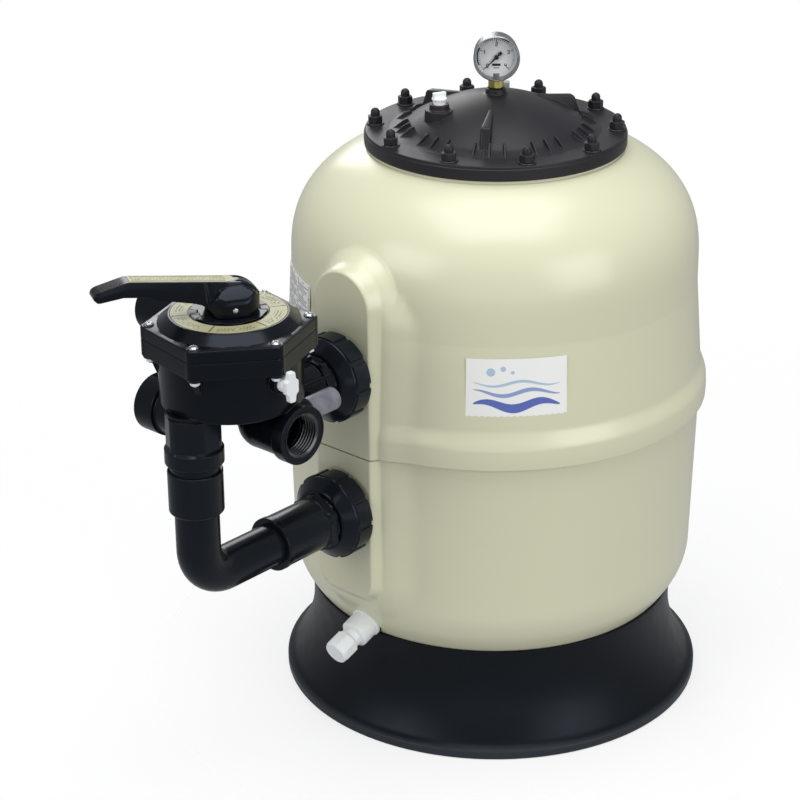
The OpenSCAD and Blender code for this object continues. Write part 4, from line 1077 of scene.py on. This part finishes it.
# ---- Pressure gauge and purge screw --------------------------------------------------------
AT_GAUGE = Matrix.Translation((0, 0, 807.0)) @ spin(-48.0) @ Matrix.Rotation(math.radians(90.0), 4, "Y")

# digits as strokes on a 2 by 4 grid
STROKES = {"0": (((0, 0), (2, 0)), ((2, 0), (2, 4)), ((2, 4), (0, 4)), ((0, 4), (0, 0))),
        "1": (((1, 0), (1, 4)), ((0.3, 3.2), (1, 4))), "2": (((0, 4), (2, 4)), ((2, 4), (2, 2)),
        ((2, 2), (0, 2)), ((0, 2), (0, 0)), ((0, 0), (2, 0))), "3": (((0, 4), (2, 4)), ((2, 4), (2, 0)),
        ((0.4, 2), (2, 2)), ((0, 0), (2, 0))), "4": (((0, 4), (0, 2)), ((0, 2), (2, 2)),
        ((2, 4), (2, 0))),}


def stroke(shape, a, b, half, low, high, matrix):
    a, b = Vector(a), Vector(b)
    along_it = (b - a).normalized() * half
    side = Vector((-along_it.y, along_it.x))
    corners = [a - along_it - side, b + along_it - side, b + along_it + side, a - along_it + side]
    shape.prism([(c.x, c.y) for c in corners], low, high, 0.02, matrix, 0, 1)


def build_gauge():
    case = Shape()
    case.turned(rounded_path([(0.4, -13.4, 0), (23.5, -13.4, 2.5), (26.3, -12, 1.6), (26.3, 5.8, 0.5),
            (27.3, 6.2, 0.6), (27.5, 8.0, 0.6), (27.5, 14.8, 1.4), (26.4, 16.0, 0.8), (25.6, 16.0, 0.4),
            (25.0, 14.8, 0.3), (25.0, 4.0, 0), (0.4, 4.0, 0)], 5), 128, AT_GAUGE)
    case.turned(rounded_path([(0.4, 20, 0), (6.2, 20, 0), (6.2, 27.4, 0.6), (0.4, 27.4, 0)], 3), 48,
            AT_GAUGE @ Matrix.Rotation(math.radians(90.0), 4, "Y"))
    case.piece("gauge_body", CASE, "tank", "gauge_steel", ("gauge_case",), 40.0)
    face = Shape()
    face.turned(rounded_path([(1.7, 4.1, 0), (24.9, 4.1, 0), (24.9, 5.0, 0.1), (1.7, 5.0, 0.1)], 2, True),
            96, AT_GAUGE, True)
    face.piece("gauge_face", DIAL, "tank", "dial_white", ("gauge_dial",), 40.0)
    # +X of the dial frame points down, +Y to the viewer's right
    turn = AT_GAUGE @ spin(90.0)
    marks = Shape()
    for k in range(41):
        a = math.radians(225.0 - 270.0 * k / 40)
        inner = 18.4 if k % 10 == 0 else 19.4 if k % 5 == 0 else 20.3
        half = 0.42 if k % 10 == 0 else 0.24
        stroke(marks, (inner * math.cos(a), inner * math.sin(a)), (21.6 * math.cos(a),
                21.6 * math.sin(a)), half, 4.95, 5.12, turn)
    for k in range(5):
        a = math.radians(225.0 - 270.0 * k / 4)
        cx, cy, size = 15.2 * math.cos(a), 15.2 * math.sin(a), 1.0
        for p, q in STROKES[str(k)]:
            stroke(marks, (cx + (p[0] - 1) * size, cy + (p[1] - 2) * size),
                    (cx + (q[0] - 1) * size, cy + (q[1] - 2) * size), 0.42, 4.95, 5.12, turn)
    for a0, a1 in ((150.0, 205.0), (50.0, 75.0), (105.0, 128.0)):
        arc_band(marks, 22.0, 23.6, a0, a1, 4.95, 5.12, turn, 12)
    stroke(marks, (-3.4, -9.6), (3.4, -9.6), 1.5, 4.95, 5.12, turn)
    stroke(marks, (-3.0, -13.4), (3.0, -13.4), 0.5, 4.95, 5.12, turn)
    marks.piece("gauge_scale", NEEDLE, "tank", "needle_black", (), 40.0)
    hand = Shape()
    hand.turned(rounded_path([(0.3, 0.2, 0), (1.5, 0.2, 0.1), (1.5, 6.6, 0), (2.8, 6.6, 0.2),
            (2.8, 8.0, 0.6), (0.3, 8.6, 0)], 4), 40, AT_GAUGE)
    blade = [(-8.4, -1.9), (-4.6, -2.1), (-3.2, -0.9), (0, -1.1), (18.4, -0.3), (18.4, 0.3), (0, 1.1),
            (-3.2, 0.9), (-4.6, 2.1), (-8.4, 1.9)]
    hand.prism(blade, 7.0, 7.8, 0.12, AT_GAUGE @ spin(-45.0), 0, 1)
    hand.piece("gauge_hand", NEEDLE, "needle", "needle_black", ("gauge_needle",), 36.0)
    pane = Shape()
    pane.turned(rounded_path([(0.3, 11.8, 0), (24.9, 11.8, 0.2), (24.9, 12.8, 0.3), (12.0, 13.7, 0),
            (0.3, 14.0, 0)], 3), 96, AT_GAUGE)
    pane.piece("gauge_pane", GLASS, "tank", "clear_glass", ("gauge_glass",), 50.0)
    stem = Shape()
    six = hexagon(9.8)
    stem.turned(rounded_path([(0.4, 752, 0), (6, 752, 0), (6, 769.4, 0), (9.0, 769.6, 0.3),
            (9.8, 770.4, 0.5), (9.8, 778, 0.5), (8.8, 779, 0.4), (5.6, 779.3, 0.6), (5.0, 780, 0.5),
            (5.0, 783.5, 0), (0.4, 783.5, 0)], 3), 72, None, False, lambda r, z,
            a: six(r, z, a) if 769.5 < z < 779.1 and r > 7 else r)
    stem.piece("gauge_neck", BRASS, "tank", "brass", ("gauge_stem",), 30.0)
    knob = Shape()
    knob.turned(rounded_path([(0.3, 739, 0), (4.9, 739, 0.5), (4.9, 756.2, 0), (7.6, 756.2, 0.5),
            (7.6, 761.9, 0.4), (8.8, 762.3, 0.6), (8.8, 764.9, 0.8), (5.4, 765.7, 0.5), (0.3, 765.9, 0)],
            4), 64, AT_PURGE, False, lambda r, z,
            a: r + (0.35 * math.sin(18 * a) if 762 < z < 765.5 and r > 8 else 0.0))
    knob.prism(rounded_path([(-8.4, -2.4, 1.8), (8.4, -2.4, 1.8), (8.4, 2.4, 1.8), (-8.4, 2.4, 1.8)], 3,
            True), 764.5, 771.5, 0.9, AT_PURGE)
    knob.piece("purge_wing", WHITE, "purge_screw", "white_plastic", ("purge_knob",), 36.0)


# ---- Base skirt ----------------------------------------------------------------------------
def build_base():
    shape = Shape()
    path = [(261.0, 0.0), (265.2, 0.0), (266.4, 1.0), (266.5, 2.2), (266.5, 8.6), (266.2, 10.2),
            (265.2, 11.4), (263.2, 12.4), (260.2, 14.0), (257.4, 16.4), (255.0, 19.6)]
    for k in range(1, 15):
        t = k / 14
        path.append((255.0 - 25.3 * (1.0 - (1.0 - t) ** 2.1), 19.6 + 84.0 * t))
    path += [(229.9, 112.0), (230.4, 122.0), (231.0, 127.6), (230.8, 129.2), (229.8, 130.0),
            (224.0, 130.0), (222.6, 128.6), (221.8, 112.0), (222.0, 100.0), (236.0, 52.0), (248.0, 16.0),
            (258.6, 4.0)]
    shape.turned(path, 240, None, True)
    shape.piece("skirt", BASE, "tank", "base_plastic", ("base_skirt",), 40.0)


build_gauge()
build_base()


# ---- Labels --------------------------------------------------------------------------------
# azimuths of the two labels' centres
LABEL_AT, STICKER_AT = -44.25, -125.0


def wall_at(z):
    return TANK_R + (SHOULDER_R - TANK_R) * (z - 419.0) / (SHOULDER_Z - 419.0)


def on_wall(u, z, lift, centre):
    """A point lift above the wall, u mm round from the azimuth centre."""
    r = wall_at(z) + lift
    a = math.radians(centre) + u / 253.0
    return (r * math.cos(a), r * math.sin(a), z)


def ribbon(shape, line, centre, low, high, tag=0):
    """A printed band: line is (u, lower z, upper z) along its length."""
    sections = []
    for u, z0, z1 in line:
        sections.append([on_wall(u, z0, low, centre), on_wall(u, z0, high, centre),
                on_wall(u, z1, high, centre), on_wall(u, z1, low, centre)])
    shape.loft(sections, None, tag)


def build_labels():
    sheet = Shape()
    ribbon(sheet, [(-58.5 + 117.0 * k / 40, 449.2, 522.8) for k in range(41)], LABEL_AT, 0.05, 0.5)
    sheet.piece("label_sheet", LABEL, "tank", "label_white", ("main_label",), 60.0)
    sheet = Shape()
    ribbon(sheet, [(-61.5 + 123.0 * k / 40, 496.2, 559.8) for k in range(41)], STICKER_AT, 0.05, 0.5)
    sheet.piece("sticker_sheet", LABEL, "tank", "label_white", ("info_label",), 60.0)
    waves = Shape()
    for mid, swing, thick, phase, tag in ((467.0, 4.2, 11.0, 0.4, 0), (482.0, 3.6, 5.0, 1.5, 1),
            (493.0, 3.0, 3.4, 2.6, 2)):
        line = []
        for k in range(61):
            t = k / 60
            mean = mid + swing * math.sin(2 * math.pi * 1.5 * t + phase)
            half = thick / 2 * (0.12 + 0.88 * math.sin(math.pi * t) ** 0.7)
            line.append((-50.0 + 100.0 * t, mean - half, mean + half))
        ribbon(waves, line, LABEL_AT, 0.46, 0.62, tag)
    for cu, cz, r in ((-30.0, 507.0, 5.0), (-16.0, 511.0, 3.2), (-5.0, 506.5, 2.2)):
        ribbon(waves, [(cu + r * math.cos(math.pi * (1 - k / 16)),
                cz - r * math.sin(math.pi * k / 16) - 0.02,
                cz + r * math.sin(math.pi * k / 16) + 0.02) for k in range(17)], LABEL_AT, 0.46, 0.62, 2)
    waves.piece("label_waves", [BLUE, BLUE_MID, BLUE_PALE], "tank", "label_white", (), 60.0)
    lines = Shape()

    def bar(u0, u1, z0, z1):
        ribbon(lines, [(u0 + (u1 - u0) * k / 6, z0, z1) for k in range(7)], STICKER_AT, 0.46, 0.6)

    for u in (-59.0, -16.0, 22.0, 58.3):
        bar(u, u + 0.8, 499.0, 557.0)
    for z in (498.4, 512.5, 527.0, 541.5, 556.4):
        bar(-59.0, 59.1, z, z + 0.8)
    for col, (u0, u1) in enumerate(((-56.5, -18.0), (-13.0, 20.0), (25.0, 56.0))):
        for row in range(4):
            for k in range(4):
                end = u1 - (0.0, 6.0, 3.0, 13.0)[(k + row + col) % 4]
                z = 501.6 + 14.4 * row + 2.6 * k
                bar(u0, end, z, z + 0.7)
    lines.piece("sticker_lines", INK, "tank", "label_white", (), 60.0)


build_labels()
BY_SLOT = {"vessel_shell": VESSEL, "base_plastic": BASE, "lid_plastic": LID, "black_plastic": BLACK,
        "pipe_plastic": PIPE, "grey_plastic": GREY, "white_plastic": WHITE, "inner_plastic": INNER,
        "dial_cream": CREAM, "label_white": LABEL, "rubber_black": RUBBER, "steel": STEEL,
        "gauge_steel": CASE, "brass": BRASS, "dial_white": DIAL, "needle_black": NEEDLE,
        "clear_glass": GLASS, "clear_plastic": SIGHT}
for node in NODES.values():
    for slot, old in zip(node.material_slots, list(node.data.materials)):
        slot.link = "OBJECT"
        slot.material = BY_SLOT[old.name.split(".")[0]]


# ---- Floor ---------------------------------------------------------------------------------
def make_floor():
    bm = bmesh.new()
    size = 6.0
    corners = [bm.verts.new((x * size, y * size, -0.0005)) for x, y in ((-1, -1), (1, -1), (1, 1),
            (-1, 1))]
    bm.faces.new(corners)
    mesh = bpy.data.meshes.new("floor")
    bm.to_mesh(mesh)
    bm.free()
    floor = bpy.data.objects.new("floor", mesh)
    bpy.context.scene.collection.objects.link(floor)
    n = Nodes("floor_pale")
    n.link(n.ramp(n.noise(2.0, 2.0), [(0.3, (0.95, 0.95, 0.95)), (0.7, (0.97, 0.97, 0.97))]),
            n.shader.inputs["Base Color"])
    n.shader.inputs["Roughness"].default_value = 0.7
    reach = n.add("ShaderNodeVectorMath", operation="LENGTH")
    n.link(n.place(), reach.inputs[0])
    fade = n.span(reach.outputs["Value"], 0.3, 1.3, 0.7, 1.0)
    clear_part = n.add("ShaderNodeBsdfTransparent")
    both = n.add("ShaderNodeMixShader")
    n.link(fade, both.inputs["Fac"])
    n.link(n.shader.outputs["BSDF"], both.inputs[1])
    n.link(clear_part.outputs["BSDF"], both.inputs[2])
    n.link(both.outputs["Shader"], n.tree.nodes["Material Output"].inputs["Surface"])
    mesh.materials.append(n.mat)


make_floor()
